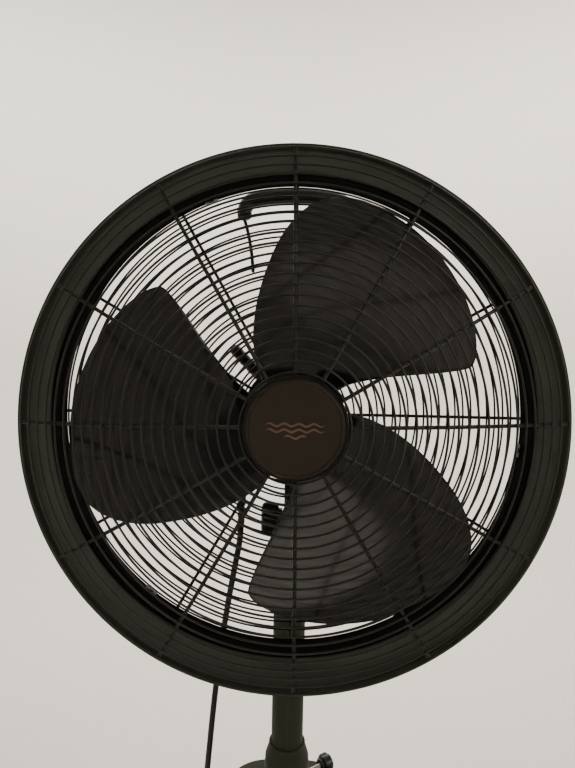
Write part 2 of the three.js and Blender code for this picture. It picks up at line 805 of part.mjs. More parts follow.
function buildRotor() {
  const shaftFront = -174;
  const shaft = turnedRoundY(rod(shaftRadius, shaftFront, motorEndY - 14), 16);
  add(onAxis, "motor_shaft", shaft, steel);
  const loose = shaftRadius + gap;
  add(onAxis, "rotor_core", turnedRoundY(pipe(loose, 27, -30, 12), fineSides), darkSteel);
  const hub = [
    [loose, -160],
    [26, -160],
    [bladeRoot - 0.6, -154],
    [bladeRoot - 0.6, -98],
    [loose, -98],
  ];
  add(onAxis, "blade_hub", turnedRoundY(hub, fineSides), blackPlastic);
  const nut = cut(
    turnedRoundY([[0, -180], [12, -180], [19, -172], [20, -160.3], [0, -160.3]], 20),
    turnedRoundY(rod(loose, shaftFront - gap, -150), 16),
  );
  add(onAxis, "lock_nut", nut, blackPlastic);
  for (let i = 0; i < bladeCount; i++) {
    add(onAxis, "blade_" + (i + 1), blade((360 * i) / bladeCount), bladePlastic);
  }
}

// ---- Carry grip with its two stays, and the short handle for aiming the head ----
function buildHandles() {
  const half = [
    [-59, -30, 219.5],
    [-59.6, -26.5, 230.5],
    [-54, -25, 240.5],
    [-40, -25, 244.7],
    [-20, -25, 246.8],
  ];
  const mirrored = half.map(([x, y, z]) => [-x, y, z]).reverse();
  const grip = swept([...half, [0, -25, 247.5], ...mirrored], gripRadius, 8, 12);
  add(onAxis, "carry_grip", grip, blackPlastic);
  for (const [name, side] of [["left", -1], ["right", 1]]) {
    const stay = [
      [59 * side, -31, 217],
      [55 * side, -39, 203.5],
      [50 * side, -51, 180.5],
      [47 * side, -63, 158.5],
    ];
    add(onAxis, "grip_stay_" + name, swept(stay, 2, 6, 15), blackPaint);
  }
  const handle = [
    [0, motorRadius + 1],
    [10, motorRadius + 1],
    [10, motorRadius + 5],
    [6, motorRadius + 8],
    [5.5, 98],
    [4, 103],
    [0, 106],
  ];
  const rodHandle = turned(turnedRoundZ(handle, 16), 0, -45, 0);
  add(onAxis, "aim_handle", moved(rodHandle, 0, 5, 0), blackPlastic);
}

buildBase();
buildTubes();
buildHousing();
buildNeck();
buildTiltJoint();
buildMotor();
buildShroud();
buildGrilles();
buildRotor();
buildHandles();
add(fan, "motor_lead", swept(leadRoute, leadDiameter / 2, 8, 20), rubber);

export default fan;
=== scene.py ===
"""A pedestal fan: the looks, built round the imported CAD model. Metres, +Z up, the fan blows towards -Y."""

import json
import math

import bmesh
import bpy
import numpy as np
from mathutils import Matrix, Vector


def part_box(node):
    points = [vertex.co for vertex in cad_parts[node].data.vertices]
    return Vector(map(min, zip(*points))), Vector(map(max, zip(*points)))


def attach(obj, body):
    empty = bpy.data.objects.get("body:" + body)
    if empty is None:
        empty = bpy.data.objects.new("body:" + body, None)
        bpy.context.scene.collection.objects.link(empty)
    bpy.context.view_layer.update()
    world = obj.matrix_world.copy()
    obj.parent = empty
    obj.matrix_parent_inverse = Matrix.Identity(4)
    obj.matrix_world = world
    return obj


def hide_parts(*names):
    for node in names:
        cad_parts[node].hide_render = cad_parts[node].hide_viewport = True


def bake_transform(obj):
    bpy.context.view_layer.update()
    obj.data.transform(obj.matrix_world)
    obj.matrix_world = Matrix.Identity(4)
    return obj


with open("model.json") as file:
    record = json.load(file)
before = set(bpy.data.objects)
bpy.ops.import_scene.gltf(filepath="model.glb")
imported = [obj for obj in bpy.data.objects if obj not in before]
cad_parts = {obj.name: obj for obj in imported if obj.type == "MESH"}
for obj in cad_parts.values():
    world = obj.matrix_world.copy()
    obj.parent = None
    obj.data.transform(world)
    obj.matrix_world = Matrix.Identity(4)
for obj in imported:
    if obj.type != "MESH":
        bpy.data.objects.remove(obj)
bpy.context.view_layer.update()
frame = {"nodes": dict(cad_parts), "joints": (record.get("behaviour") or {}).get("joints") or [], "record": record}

# ---- The frame's own places ----
JOINTS = {joint["name"]: joint for joint in frame["joints"]}
PIVOT = Vector(JOINTS["head_tilt"]["pos_m"])
AXIS_POINT = Vector(JOINTS["rotor_spin"]["pos_m"])
FORWARD = Vector(JOINTS["rotor_spin"]["axis"]).normalized()
NECK_KNOB_POINT = Vector(JOINTS["neck_knob_turn"]["pos_m"])
NECK_KNOB_OUT = Vector(JOINTS["neck_knob_turn"]["axis"]).normalized()
SPEED_POINT = Vector(JOINTS["speed_knob_turn"]["pos_m"])


def frame_at(origin, x, y, z):
    """A matrix whose columns are the given directions."""
    turn = Matrix((x, y, z)).transposed().to_4x4()
    return Matrix.Translation(origin) @ turn


SIDE = Vector((1, 0, 0))
BACK = -FORWARD
UP = SIDE.cross(BACK)
# The head's frame: X to the right, Y to the back along the blade axis, Z up, its origin on the axis.
HEAD = frame_at(AXIS_POINT, SIDE, BACK, UP)
PIVOT_HEAD = frame_at(PIVOT, SIDE, BACK, UP)
# Frames for turned pieces, whose profiles run along the frame's Z.
HEAD_TURNED = HEAD @ Matrix.Rotation(math.radians(-90), 4, "X")
STAND_TURNED = Matrix.Identity(4)


def span(node, place):
    """Lowest and highest corner of a CAD node, as the frame place sees it."""
    inverse = place.inverted()
    corners = np.array([inverse @ vertex.co for vertex in frame["nodes"][node].data.vertices])
    return corners.min(0), corners.max(0)


# ---- Camera ----
# Lens and sensor in millimetres, angles in degrees, and the camera's place seen from the rim's centre.
LENS_LENGTH = 26.86
SENSOR_WIDTH = 36
RIM_Y = float(span("shroud", HEAD)[0][1])
RIM_CENTRE = HEAD @ Vector((0, RIM_Y, 0))
CAMERA_FROM_RIM = Vector((-0.006, -0.509, 0.080))
CAMERA_PITCH = 5.1
CAMERA_ROLL = 1.0
CAMERA_YAW = 0.1


def make_camera():
    data = bpy.data.cameras.new("camera")
    data.sensor_width = SENSOR_WIDTH
    data.lens = LENS_LENGTH
    data.clip_start = 0.01
    camera = bpy.data.objects.new("camera", data)
    bpy.context.scene.collection.objects.link(camera)
    aim = Matrix.Rotation(math.radians(90 - CAMERA_PITCH), 4, "X")
    yaw = Matrix.Rotation(math.radians(CAMERA_YAW), 4, "Z")
    roll = Matrix.Rotation(math.radians(CAMERA_ROLL), 4, "Z")
    camera.matrix_world = Matrix.Translation(RIM_CENTRE + CAMERA_FROM_RIM) @ yaw @ aim @ roll
    bpy.context.scene.camera = camera


make_camera()


# ---- Materials ----
def set_input(node, name, value):
    node.inputs[name].default_value = value


def surface_material(
    name,
    color,
    roughness,
    metallic=0.0,
    variation=0.25,
    patch_scale=14.0,
    grain_scale=900.0,
    grain_depth=0.00004,
    roughness_spread=0.08,
    wear=None,
    specular=0.5,
    stretch=(1, 1, 1),
):
    """A shader with colour patches, varied roughness and fine grain. wear is (colour, amount) at edges."""
    material = bpy.data.materials.new(name)
    material.use_nodes = True
    nodes = material.node_tree.nodes
    links = material.node_tree.links
    shader = nodes["Principled BSDF"]
    set_input(shader, "Metallic", metallic)
    set_input(shader, "Specular IOR Level", specular)
    place = nodes.new("ShaderNodeTexCoord")
    mapping = nodes.new("ShaderNodeMapping")
    set_input(mapping, "Scale", stretch)
    links.new(place.outputs["Object"], mapping.inputs["Vector"])

    patches = nodes.new("ShaderNodeTexNoise")
    set_input(patches, "Scale", patch_scale)
    set_input(patches, "Detail", 6)
    links.new(mapping.outputs["Vector"], patches.inputs["Vector"])
    tint = nodes.new("ShaderNodeMix")
    tint.data_type = "RGBA"
    darker = [channel * (1 - variation) for channel in color]
    lighter = [min(1, channel * (1 + variation)) for channel in color]
    tint.inputs["A"].default_value = (*darker, 1)
    tint.inputs["B"].default_value = (*lighter, 1)
    links.new(patches.outputs["Fac"], tint.inputs["Factor"])
    base = tint.outputs["Result"]

    if wear is not None:
        geometry = nodes.new("ShaderNodeNewGeometry")
        edges = nodes.new("ShaderNodeMapRange")
        set_input(edges, "From Min", 0.53)
        set_input(edges, "From Max", 0.62)
        set_input(edges, "To Max", wear[1])
        links.new(geometry.outputs["Pointiness"], edges.inputs["Value"])
        broken = nodes.new("ShaderNodeMath")
        broken.operation = "MULTIPLY"
        links.new(edges.outputs["Result"], broken.inputs[0])
        links.new(patches.outputs["Fac"], broken.inputs[1])
        worn = nodes.new("ShaderNodeMix")
        worn.data_type = "RGBA"
        worn.inputs["B"].default_value = (*wear[0], 1)
        links.new(broken.outputs["Value"], worn.inputs["Factor"])
        links.new(base, worn.inputs["A"])
        base = worn.outputs["Result"]
    links.new(base, shader.inputs["Base Color"])

    spread = nodes.new("ShaderNodeMapRange")
    set_input(spread, "To Min", roughness - roughness_spread)
    set_input(spread, "To Max", roughness + roughness_spread)
    smudges = nodes.new("ShaderNodeTexNoise")
    set_input(smudges, "Scale", patch_scale * 3.1)
    set_input(smudges, "Detail", 4)
    links.new(mapping.outputs["Vector"], smudges.inputs["Vector"])
    links.new(smudges.outputs["Fac"], spread.inputs["Value"])
    links.new(spread.outputs["Result"], shader.inputs["Roughness"])

    grain = nodes.new("ShaderNodeTexNoise")
    set_input(grain, "Scale", grain_scale)
    set_input(grain, "Detail", 3)
    links.new(mapping.outputs["Vector"], grain.inputs["Vector"])
    bump = nodes.new("ShaderNodeBump")
    set_input(bump, "Strength", 0.6)
    set_input(bump, "Distance", grain_depth)
    links.new(grain.outputs["Fac"], bump.inputs["Height"])
    links.new(bump.outputs["Normal"], shader.inputs["Normal"])
    return material


BARE_STEEL = (0.20, 0.195, 0.18)
MATERIALS = {
    "shroud_paint": surface_material(
        "shroud_paint", (0.0335, 0.0365, 0.0265), 0.62, 0.0, 0.14, 9, 1300, 0.00005,
        wear=(BARE_STEEL, 0.12), specular=0.07,
    ),
    "black_paint": surface_material(
        "black_paint", (0.0085, 0.0082, 0.0066), 0.42, 0.0, 0.25, 40, 1500, 0.00003,
        wear=(BARE_STEEL, 0.04), specular=0.16,
    ),
    "steel": surface_material(
        "steel", (0.55, 0.54, 0.52), 0.32, 1.0, 0.15, 60, 1800, 0.00002, stretch=(1, 1, 0.1)
    ),
    "iron": surface_material("iron", (0.04, 0.04, 0.038), 0.6, 0.5, 0.3, 50, 700, 0.0001),
    "cast_aluminium": surface_material(
        "cast_aluminium", (0.0080, 0.0082, 0.0062), 0.5, 0.0, 0.25, 40, 800, 0.00012,
        wear=(BARE_STEEL, 0.1), specular=0.35,
    ),
    "copper": surface_material(
        "copper", (0.45, 0.16, 0.06), 0.35, 1.0, 0.2, 80, 1200, 0.0001, stretch=(0.2, 1, 1)
    ),
    "blade_plastic": surface_material(
        "blade_plastic", (0.0045, 0.0040, 0.0035), 0.13, 0.0, 0.2, 12, 700, 0.00001,
        roughness_spread=0.03, specular=0.5,
    ),
    "black_plastic": surface_material(
        "black_plastic", (0.0062, 0.0060, 0.0052), 0.4, 0.0, 0.2, 30, 1600, 0.00005, specular=0.35
    ),
    "badge_plastic": surface_material(
        "badge_plastic", (0.0200, 0.0133, 0.0082), 0.5, 0.0, 0.06, 25, 2200, 0.00003, specular=0.25
    ),
    "nylon": surface_material("nylon", (0.6, 0.57, 0.5), 0.5, 0.0, 0.08, 30, 900, 0.00004),
    "rubber": surface_material(
        "rubber", (0.0075, 0.0072, 0.0066), 0.55, 0.0, 0.2, 30, 1500, 0.00006, specular=0.35
    ),
}
# Painted light: a lighter copy of the black wire paint for the front grille, lifting the shade its wires cast on
# themselves; the rear grille keeps the plain black paint.
WIRE_PAINTED_LIGHT = surface_material(
    "wire_painted_light", (0.0165, 0.0165, 0.0125), 0.4, 0.0, 0.2, 40, 1500, 0.00003, specular=0.28
)
# Painted shade: a darker, duller, almost unreflecting copy of the black plastic for the ring at the drum's back,
# standing in for the shade deep inside the drum.
RING_PAINTED_SHADE = surface_material(
    "ring_painted_shade", (0.0030, 0.0030, 0.0026), 0.8, 0.0, 0.1, 40, 1500, 0.00003, specular=0.02
)
LETTER_COPPER = surface_material(
    "badge_copper", (0.16, 0.095, 0.068), 0.45, 0.6, 0.12, 60, 900, 0.00002
)
PRINT = surface_material("print", (0.55, 0.54, 0.5), 0.6, 0.0, 0.05, 30, 900, 0.00001)


# ---- Mesh helpers ----
MM = 0.001


def mm(points):
    """A profile in millimetres as one in metres."""
    return [tuple(value * MM for value in point) for point in points]


def piece(name, vertices, faces, body, slot, replaces=(), place=None, sharp=38, material=None):
    """A mesh from vertices and faces, moved by place, that rides on a CAD body."""
    mesh = bpy.data.meshes.new(name)
    mesh.from_pydata([tuple(v) for v in vertices], [], [tuple(f) for f in faces])
    if place is not None:
        mesh.transform(place)
    made = bpy.data.objects.new(name, mesh)
    bpy.context.scene.collection.objects.link(made)
    return finish_piece(made, body, slot, replaces, sharp, material)


def finish_piece(made, body, slot, replaces=(), sharp=38, material=None):
    shape = bmesh.new()
    shape.from_mesh(made.data)
    bmesh.ops.remove_doubles(shape, verts=shape.verts, dist=1e-6)
    bmesh.ops.recalc_face_normals(shape, faces=shape.faces)
    shape.to_mesh(made.data)
    shape.free()
    made.data.shade_smooth()
    made.data.set_sharp_from_angle(angle=math.radians(sharp))
    made.data.materials.clear()
    made.data.materials.append(material or MATERIALS[slot])
    if body is not None:
        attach(made, body)
    if replaces:
        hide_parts(*replaces)
    return made


def apply_modifiers(made):
    """The evaluated mesh takes the place of the object's own, and its modifiers go."""
    graph = bpy.context.evaluated_depsgraph_get()
    mesh = bpy.data.meshes.new_from_object(made.evaluated_get(graph))
    made.modifiers.clear()
    made.data = mesh


def bevelled(made, width, segments=3, angle=30):
    """Rounds the edges of a flat-sided mesh."""
    bevel = made.modifiers.new("bevel", "BEVEL")
    bevel.width = width
    bevel.segments = segments
    bevel.limit_method = "ANGLE"
    bevel.angle_limit = math.radians(angle)
    bpy.context.view_layer.update()
    apply_modifiers(made)
    return made


def rounded(points, radius, steps=4, closed=True):
    """The outline with each corner replaced by a short curve that starts radius away from it."""
    count = len(points)
    result = []
    for i, (x, y) in enumerate(points):
        here = Vector((x, y))
        if not closed and i in (0, count - 1):
            result.append((x, y))
            continue
        before = Vector(points[(i - 1) % count]) - here
        after = Vector(points[(i + 1) % count]) - here
        reach = min(radius, before.length * 0.45, after.length * 0.45)
        start = here + before.normalized() * reach
        end = here + after.normalized() * reach
        for k in range(steps + 1):
            t = k / steps
            point = start * (1 - t) ** 2 + here * 2 * t * (1 - t) + end * t**2
            result.append((point.x, point.y))
    return result


def lathe(profile, sides=96, closed=True, flutes=None):
    """Vertices and faces of a profile of (radius, height) turned round Z.

    flutes is (count, depth, low, high, core): they cut what lies between two heights, outside the core.
    """
    vertices = []
    for k in range(sides):
        angle = 2 * math.pi * k / sides
        for radius, height in profile:
            r = radius
            if flutes and flutes[2] <= height <= flutes[3] and radius > flutes[4]:
                r -= flutes[1] * (0.5 - 0.5 * math.cos(flutes[0] * angle))
            vertices.append((r * math.cos(angle), r * math.sin(angle), height))
    count = len(profile)
    faces = []
    last = count if closed else count - 1
    for k in range(sides):
        a = k * count
        b = ((k + 1) % sides) * count
        for i in range(last):
            j = (i + 1) % count
            faces.append((a + i, b + i, b + j, a + j))
    return vertices, drop_empty(faces, vertices)


def drop_empty(faces, vertices):
    """Faces on the axis lose the corners that fall together, or go if fewer than three are left."""
    kept = []
    for face in faces:
        corners = []
        for index in face:
            place = vertices[index]
            if all(math.dist(place, vertices[other]) > 1e-9 for other in corners):
                corners.append(index)
        if len(corners) > 2:
            kept.append(tuple(corners))
    return kept


def turned(name, profile, place, body, slot, replaces=(), sides=96, closed=True, round_by=0.0008, **more):
    """A turned piece. An open profile starts and ends on the axis."""
    flutes = more.pop("flutes", None)
    outline = rounded(profile, round_by, 3, closed) if round_by else profile
    vertices, faces = lathe(outline, sides, closed, flutes)
    return piece(name, vertices, faces, body, slot, replaces, place, **more)


def ring_tube(radius, height, thickness, sides=8, segments=180):
    """Vertices and faces of a wire ring about Z."""
    vertices = []
    faces = []
    for k in range(segments):
        angle = 2 * math.pi * k / segments
        for s in range(sides):
            around = 2 * math.pi * s / sides
            r = radius + thickness / 2 * math.cos(around)
            z = height + thickness / 2 * math.sin(around)
            vertices.append((r * math.cos(angle), r * math.sin(angle), z))
            k2 = (k + 1) % segments
            s2 = (s + 1) % sides
            faces.append((k * sides + s, k2 * sides + s, k2 * sides + s2, k * sides + s2))
    return vertices, faces


def sweep(points, radii, sides=12):
    """Vertices and faces of a closed tube through points, with one radius or a radius for each point."""
    points = [Vector(p) for p in points]
    count = len(points)
    if not hasattr(radii, "__len__"):
        radii = [radii] * count
    tangents = []
    for i in range(count):
        tangents.append((points[min(i + 1, count - 1)] - points[max(i - 1, 0)]).normalized())
    vertices = []
    normal = tangents[0].orthogonal().normalized()
    for point, tangent, radius in zip(points, tangents, radii):
        normal = (normal - tangent * normal.dot(tangent)).normalized()
        other = tangent.cross(normal)
        for s in range(sides):
            angle = 2 * math.pi * s / sides
            vertices.append(point + normal * radius * math.cos(angle) + other * radius * math.sin(angle))
    faces = []
    for i in range(count - 1):
        for s in range(sides):
            s2 = (s + 1) % sides
            a = i * sides
            b = (i + 1) * sides
            faces.append((a + s, b + s, b + s2, a + s2))
    faces.append(tuple(range(sides)))
    faces.append(tuple((count - 1) * sides + s for s in reversed(range(sides))))
    return vertices, faces


def merge(parts):
    """Several (vertices, faces) as one."""
    vertices = []
    faces = []
    for part_vertices, part_faces in parts:
        offset = len(vertices)
        vertices.extend(part_vertices)
        faces.extend(tuple(index + offset for index in face) for face in part_faces)
    return vertices, faces


def smooth_path(points, steps=8):
    """A centripetal Catmull-Rom curve through the points."""
    points = [Vector(p) for p in points]
    extended = [points[0] * 2 - points[1], *points, points[-1] * 2 - points[-2]]
    result = []
    for i in range(1, len(extended) - 2):
        p0, p1, p2, p3 = extended[i - 1 : i + 3]
        t0 = 0.0
        t1 = t0 + math.sqrt((p1 - p0).length)
        t2 = t1 + math.sqrt((p2 - p1).length)
        t3 = t2 + math.sqrt((p3 - p2).length)
        for k in range(steps):
            t = t1 + (t2 - t1) * k / steps
            a1 = p0 * ((t1 - t) / (t1 - t0)) + p1 * ((t - t0) / (t1 - t0))
            a2 = p1 * ((t2 - t) / (t2 - t1)) + p2 * ((t - t1) / (t2 - t1))
            a3 = p2 * ((t3 - t) / (t3 - t2)) + p3 * ((t - t2) / (t3 - t2))
            b1 = a1 * ((t2 - t) / (t2 - t0)) + a2 * ((t - t0) / (t2 - t0))
            b2 = a2 * ((t3 - t) / (t3 - t1)) + a3 * ((t - t1) / (t3 - t1))
            result.append(b1 * ((t2 - t) / (t2 - t1)) + b2 * ((t - t1) / (t2 - t1)))
    result.append(points[-1])
    return result


def path_length(points):
    return sum((b - a).length for a, b in zip(points, points[1:]))


def slab(outline, low, high):
    """An outline of (y, z) given thickness along X."""
    count = len(outline)
    vertices = [(low, y, z) for y, z in outline] + [(high, y, z) for y, z in outline]
    faces = [tuple(range(count)), tuple(reversed(range(count, 2 * count)))]
    for i in range(count):
        j = (i + 1) % count
        faces.append((i, j, count + j, count + i))
    return vertices, faces


def block(low, high):
    """A box between two corners."""
    outline = [(low[1], low[2]), (high[1], low[2]), (high[1], high[2]), (low[1], high[2])]
    return slab(outline, low[0], high[0])


def arc(centre, radius, start, end, steps):
    """Points of an arc, with angles in degrees."""
    points = []
    for k in range(steps + 1):
        angle = math.radians(start + (end - start) * k / steps)
        points.append((centre[0] + radius * math.cos(angle), centre[1] + radius * math.sin(angle)))
    return points


# ---- Motor lead ----
LEAD_DIAMETER = 0.0075
LEAD_ROUTE = mm([
    (-61, 9.2, 1096.9), (-62.6, 7.9, 1076), (-67.4, 7.2, 1048), (-74, 7.2, 1010), (-80.2, 8, 970),
    (-85.7, 9, 930), (-90.4, 10, 890), (-94.4, 10, 850), (-98, 10, 810), (-101.4, 10, 770),
    (-104.2, 10, 730), (-106.2, 10, 690), (-107.4, 10, 650), (-107.9, 10, 610), (-107.9, 10, 570),
    (-107.7, 10, 535), (-107.5, 10, 512), (-104.6, 10, 495), (-96.5, 10, 484.4), (-84.7, 10, 478.3),
    (-68.8, 10, 478.3), (-57, 10, 484.4), (-48.9, 10, 495), (-46.2, 10, 508), (-46, 10, 526.4),
])


def make_lead():
    path = smooth_path(LEAD_ROUTE, 8)
    vertices, faces = sweep(path, LEAD_DIAMETER / 2, 16)
    lead = piece("motor_lead_cable", vertices, faces, None, "rubber", ["motor_lead"], sharp=60)
    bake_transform(lead)


def gland_boot(name, node, place, body, top, bottom):
    """A ribbed strain relief that hangs from top to bottom in the frame place."""
    bore = LEAD_DIAMETER / 2 + 0.0002
    nut = top - 0.008
    profile = [(bore, top + 0.004), (0.006, top + 0.004), (0.006, top), (0.009, top), (0.009, nut)]
    ribs = 7
    length = nut - bottom
    for k in range(ribs):
        outer = 0.0062 - 0.0018 * k / (ribs - 1)
        high = nut - 0.002 - (length - 0.002) * k / ribs
        low = nut - 0.002 - (length - 0.002) * (k + 0.62) / ribs
        profile += [(outer - 0.0009, high), (outer, high - 0.0006), (outer, low)]
        profile += [(outer - 0.0009, low - 0.0003)]
    profile += [(bore, bottom)]
    turned(name, profile, place, body, "rubber", [node], sides=32, round_by=0.0003)


low, high = span("motor_gland", HEAD)
box_floor = float(span("terminal_box", HEAD)[0][2])
gland_place = HEAD @ Matrix.Translation(((low[0] + high[0]) / 2, (low[1] + high[1]) / 2, 0))
gland_boot("motor_gland_boot", "motor_gland", gland_place, "head", box_floor - 0.0003, float(low[2]))
low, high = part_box("lead_gland")
housing_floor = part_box("housing_rear")[0].z
gland_place = Matrix.Translation(((low.x + high.x) / 2, (low.y + high.y) / 2, 0))
gland_boot("lead_gland_boot", "lead_gland", gland_place, "mast", housing_floor - 0.0003, low.z)
make_lead()


# ---- Base ----
def make_base():
    pad = [(0, 0), (196, 0), (199, 1.2), (202, 0), (204.5, 0), (205, 1), (205, 5), (0, 5)]
    turned("base_pad_rubber", mm(pad), STAND_TURNED, "stand", "rubber", ["base_pad"], closed=False)
    outer = [
        (219.2, 5.6), (220.4, 7.2), (220.5, 13.2), (218.6, 17.6), (213.4, 21), (206, 22.6), (204, 23.4),
        (202, 23.2), (180, 25), (150, 27.2), (120, 30), (92, 33.6), (72, 38), (56, 44.4), (45, 52),
        (37.5, 62), (32.6, 75), (29.6, 88), (28.4, 92.4), (27, 94), (22.2, 94),
    ]
    inner = [
        (21.5, 93), (21.5, 91.6), (27.4, 90), (31, 75), (36, 61), (44, 50), (55, 42.6), (72, 36),
        (92, 31.6), (150, 25.4), (212, 19.4), (218, 13.4), (218, 5.6),
    ]
    turned(
        "base_cover_shell", mm(outer + inner), STAND_TURNED, "stand", "shroud_paint", ["base_cover"],
        sides=160, round_by=0.0012,
    )


# ---- Telescopic tube ----
def make_tubes():
    tube = [(19.5, 24), (21, 24), (21, 469.4), (20.6, 470), (19.5, 470)]
    turned("outer_tube_shell", mm(tube), STAND_TURNED, "stand", "shroud_paint", ["outer_tube"], sides=64,
           round_by=0)
    collar = [
        (21.5, 438), (26.4, 438), (27.4, 440), (27.4, 442.4), (26.6, 443.4), (28, 445.4), (28, 472.6),
        (27, 474.6), (25.6, 475.2), (24.4, 480), (23.4, 484.4), (22, 486), (17.6, 486), (17.6, 476),
        (21.5, 476),
    ]
    turned(
        "height_collar_grip", mm(collar), STAND_TURNED, "height_collar", "black_plastic",
        ["height_collar"], sides=216, flutes=(36, 0.0009, 0.4452, 0.4728, 0.0272), round_by=0.0005,
    )
    inner = [(15.5, 150), (17, 150), (17, 780), (15.5, 780)]
    turned("inner_tube_shell", mm(inner), STAND_TURNED, "mast", "steel", ["inner_tube"], sides=64,
           round_by=0.0003)


# ---- Control housing ----
def half_outline(width, depth, corner, inset, steps, front):
    """Half of a rounded rectangle, from its left end round the front or the rear to its right end."""
    x = width / 2 - inset
    y = depth / 2 - inset
    r = max(corner - inset, 0.001)
    points = [(-x, -HOUSING_SEAM)]
    for k in range(steps + 1):
        angle = math.radians(180 + 90 * k / steps)
        points.append((-x + r + r * math.cos(angle), -y + r + r * math.sin(angle)))
    for k in range(1, steps):
        points.append(((-x + r) * (1 - 2 * k / steps), -y))
    for k in range(steps + 1):
        angle = math.radians(270 + 90 * k / steps)
        points.append((x - r + r * math.cos(angle), -y + r + r * math.sin(angle)))
    points.append((x, -HOUSING_SEAM))
    side = 1 if front else -1
    return [(px, py * side) for px, py in points]


HOUSING_SEAM = 0.0003
HOUSING_SIZE = (0.160, 0.122)
HOUSING_CORNER = 0.055
HOUSING_WALL = 0.0025
HOUSING_BEVEL = 0.006
HOUSING_STEPS = 14


def housing_half(name, node, front):
    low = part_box("housing_front")[0].z
    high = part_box("housing_front")[1].z
    levels = []
    bevel_steps = 6
    for k in range(bevel_steps + 1):
        angle = math.pi / 2 * k / bevel_steps
        levels.append((HOUSING_BEVEL * (1 - math.sin(angle)), low + HOUSING_BEVEL * (1 - math.cos(angle))))
    levels += [(0, low + 0.03), (0, (low + high) / 2), (0, high - 0.03)]
    for k in range(bevel_steps + 1):
        angle = math.pi / 2 * k / bevel_steps
        levels.append((HOUSING_BEVEL * (1 - math.cos(angle)), high - HOUSING_BEVEL * (1 - math.sin(angle))))
    loops = []
    outline = half_outline(*HOUSING_SIZE, HOUSING_CORNER, HOUSING_BEVEL, HOUSING_STEPS, front)
    loops.append(hole_loop(outline, 0.0180, low))
    for inset, z in levels:
        ring = half_outline(*HOUSING_SIZE, HOUSING_CORNER, inset, HOUSING_STEPS, front)
        loops.append([(x, y, z) for x, y in ring])
    loops.append(hole_loop(outline, 0.0286, high))
    count = len(outline)
    vertices = [point for loop in loops for point in loop]
    faces = []
    for i in range(len(loops) - 1):
        for k in range(count - 1):
            a = i * count + k
            faces.append((a, a + 1, a + count + 1, a + count))
    made = piece(name, vertices, faces, "mast", "shroud_paint", [node], sharp=50)
    if made.data.polygons[0].normal.z > 0:
        made.data.flip_normals()
    shell = made.modifiers.new("wall", "SOLIDIFY")
    shell.thickness = HOUSING_WALL
    shell.offset = -1
    apply_modifiers(made)
    made.data.set_sharp_from_angle(angle=math.radians(50))
    return made


def hole_loop(outline, radius, z):
    """The points of a half circle at the same bearings as an outline's."""
    loop = []
    for x, y in outline:
        away = math.hypot(x, y)
        loop.append((x / away * radius, y / away * radius, z))
    return loop


def screw(name, place, body, radius=0.0035, height=0.0018, slot="steel"):
    """The domed head of a screw, standing on the place's XY plane."""
    steps = 10
    profile = [(radius, 0.0)]
    for k in range(steps + 1):
        angle = math.pi / 2 * k / steps
        profile.append((radius * math.cos(angle), height * (0.35 + 0.65 * math.sin(angle))))
    profile[-1] = (0.0, height)
    vertices, faces = lathe([(0.0, 0.0), *profile], 32, False)
    piece(name, vertices, faces, body, slot, (), place)


def make_housing():
    housing_half("housing_front_shell", "housing_front", True)
    housing_half("housing_rear_shell", "housing_rear", False)
    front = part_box("dial_plate")[0].y
    place = Matrix.Translation((0, 0, SPEED_POINT.z)) @ Matrix.Rotation(math.radians(-90), 4, "X")
    plate = [
        (0.005, front + 0.0017), (0.005, front), (0.0325, front), (0.0328, front - 0.0003),
        (0.0336, front - 0.0003), (0.034, front + 0.0002), (0.034, front + 0.0017),
    ]
    turned("dial_plate_disc", plate, place, "mast", "badge_plastic", ["dial_plate"], round_by=0.0001)
    make_dial_marks(front)
    low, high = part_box("speed_knob")
    back = high.y
    knob = [
        (0.0, back), (0.0224, back), (0.023, back - 0.001), (0.023, back - 0.0036),
        (0.0222, back - 0.0046), (0.0214, back - 0.021), (0.0204, back - 0.0226), (0.0184, back - 0.0232),
        (0.014, back - 0.0229), (0.0, back - 0.0226),
    ]
    turned(
        "speed_knob_body", knob, place, "speed_knob", "black_plastic", ["speed_knob"], sides=240,
        flutes=(24, 0.0011, back - 0.0212, back - 0.0044, 0.020), closed=False, round_by=0.0004,
    )
    z = SPEED_POINT.z
    bar = block((-0.0038, low.y, z - 0.0185), (0.0038, back - 0.021, z + 0.0185))
    made = piece("speed_knob_bar", *bar, "speed_knob", "black_plastic")
    bevelled(made, 0.0016)
    line = block((-0.0007, low.y - 0.0002, z + 0.006), (0.0007, low.y + 0.001, z + 0.0168))
    piece("speed_knob_line", *line, "speed_knob", None, material=PRINT)
    corners = [(x, height) for height in (0.590, 0.716) for x in (-0.048, 0.048)]
    for i, (x, height) in enumerate(corners):
        spot = Matrix.Translation((x, rear_wall_y(x), height))
        turn = spot @ Matrix.Rotation(math.radians(-90), 4, "X")
        screw(f"housing_screw_{i + 1}", turn, "mast", 0.0032, 0.0014)


def rear_wall_y(x):
    """Where the rear wall of the housing stands at x."""
    straight = HOUSING_SIZE[0] / 2 - HOUSING_CORNER
    beyond = max(0.0, abs(x) - straight)
    return HOUSING_SIZE[1] / 2 - HOUSING_CORNER + math.sqrt(HOUSING_CORNER**2 - beyond**2)


DIAL_STEP = 45
DIAL_NUMBERS = 4


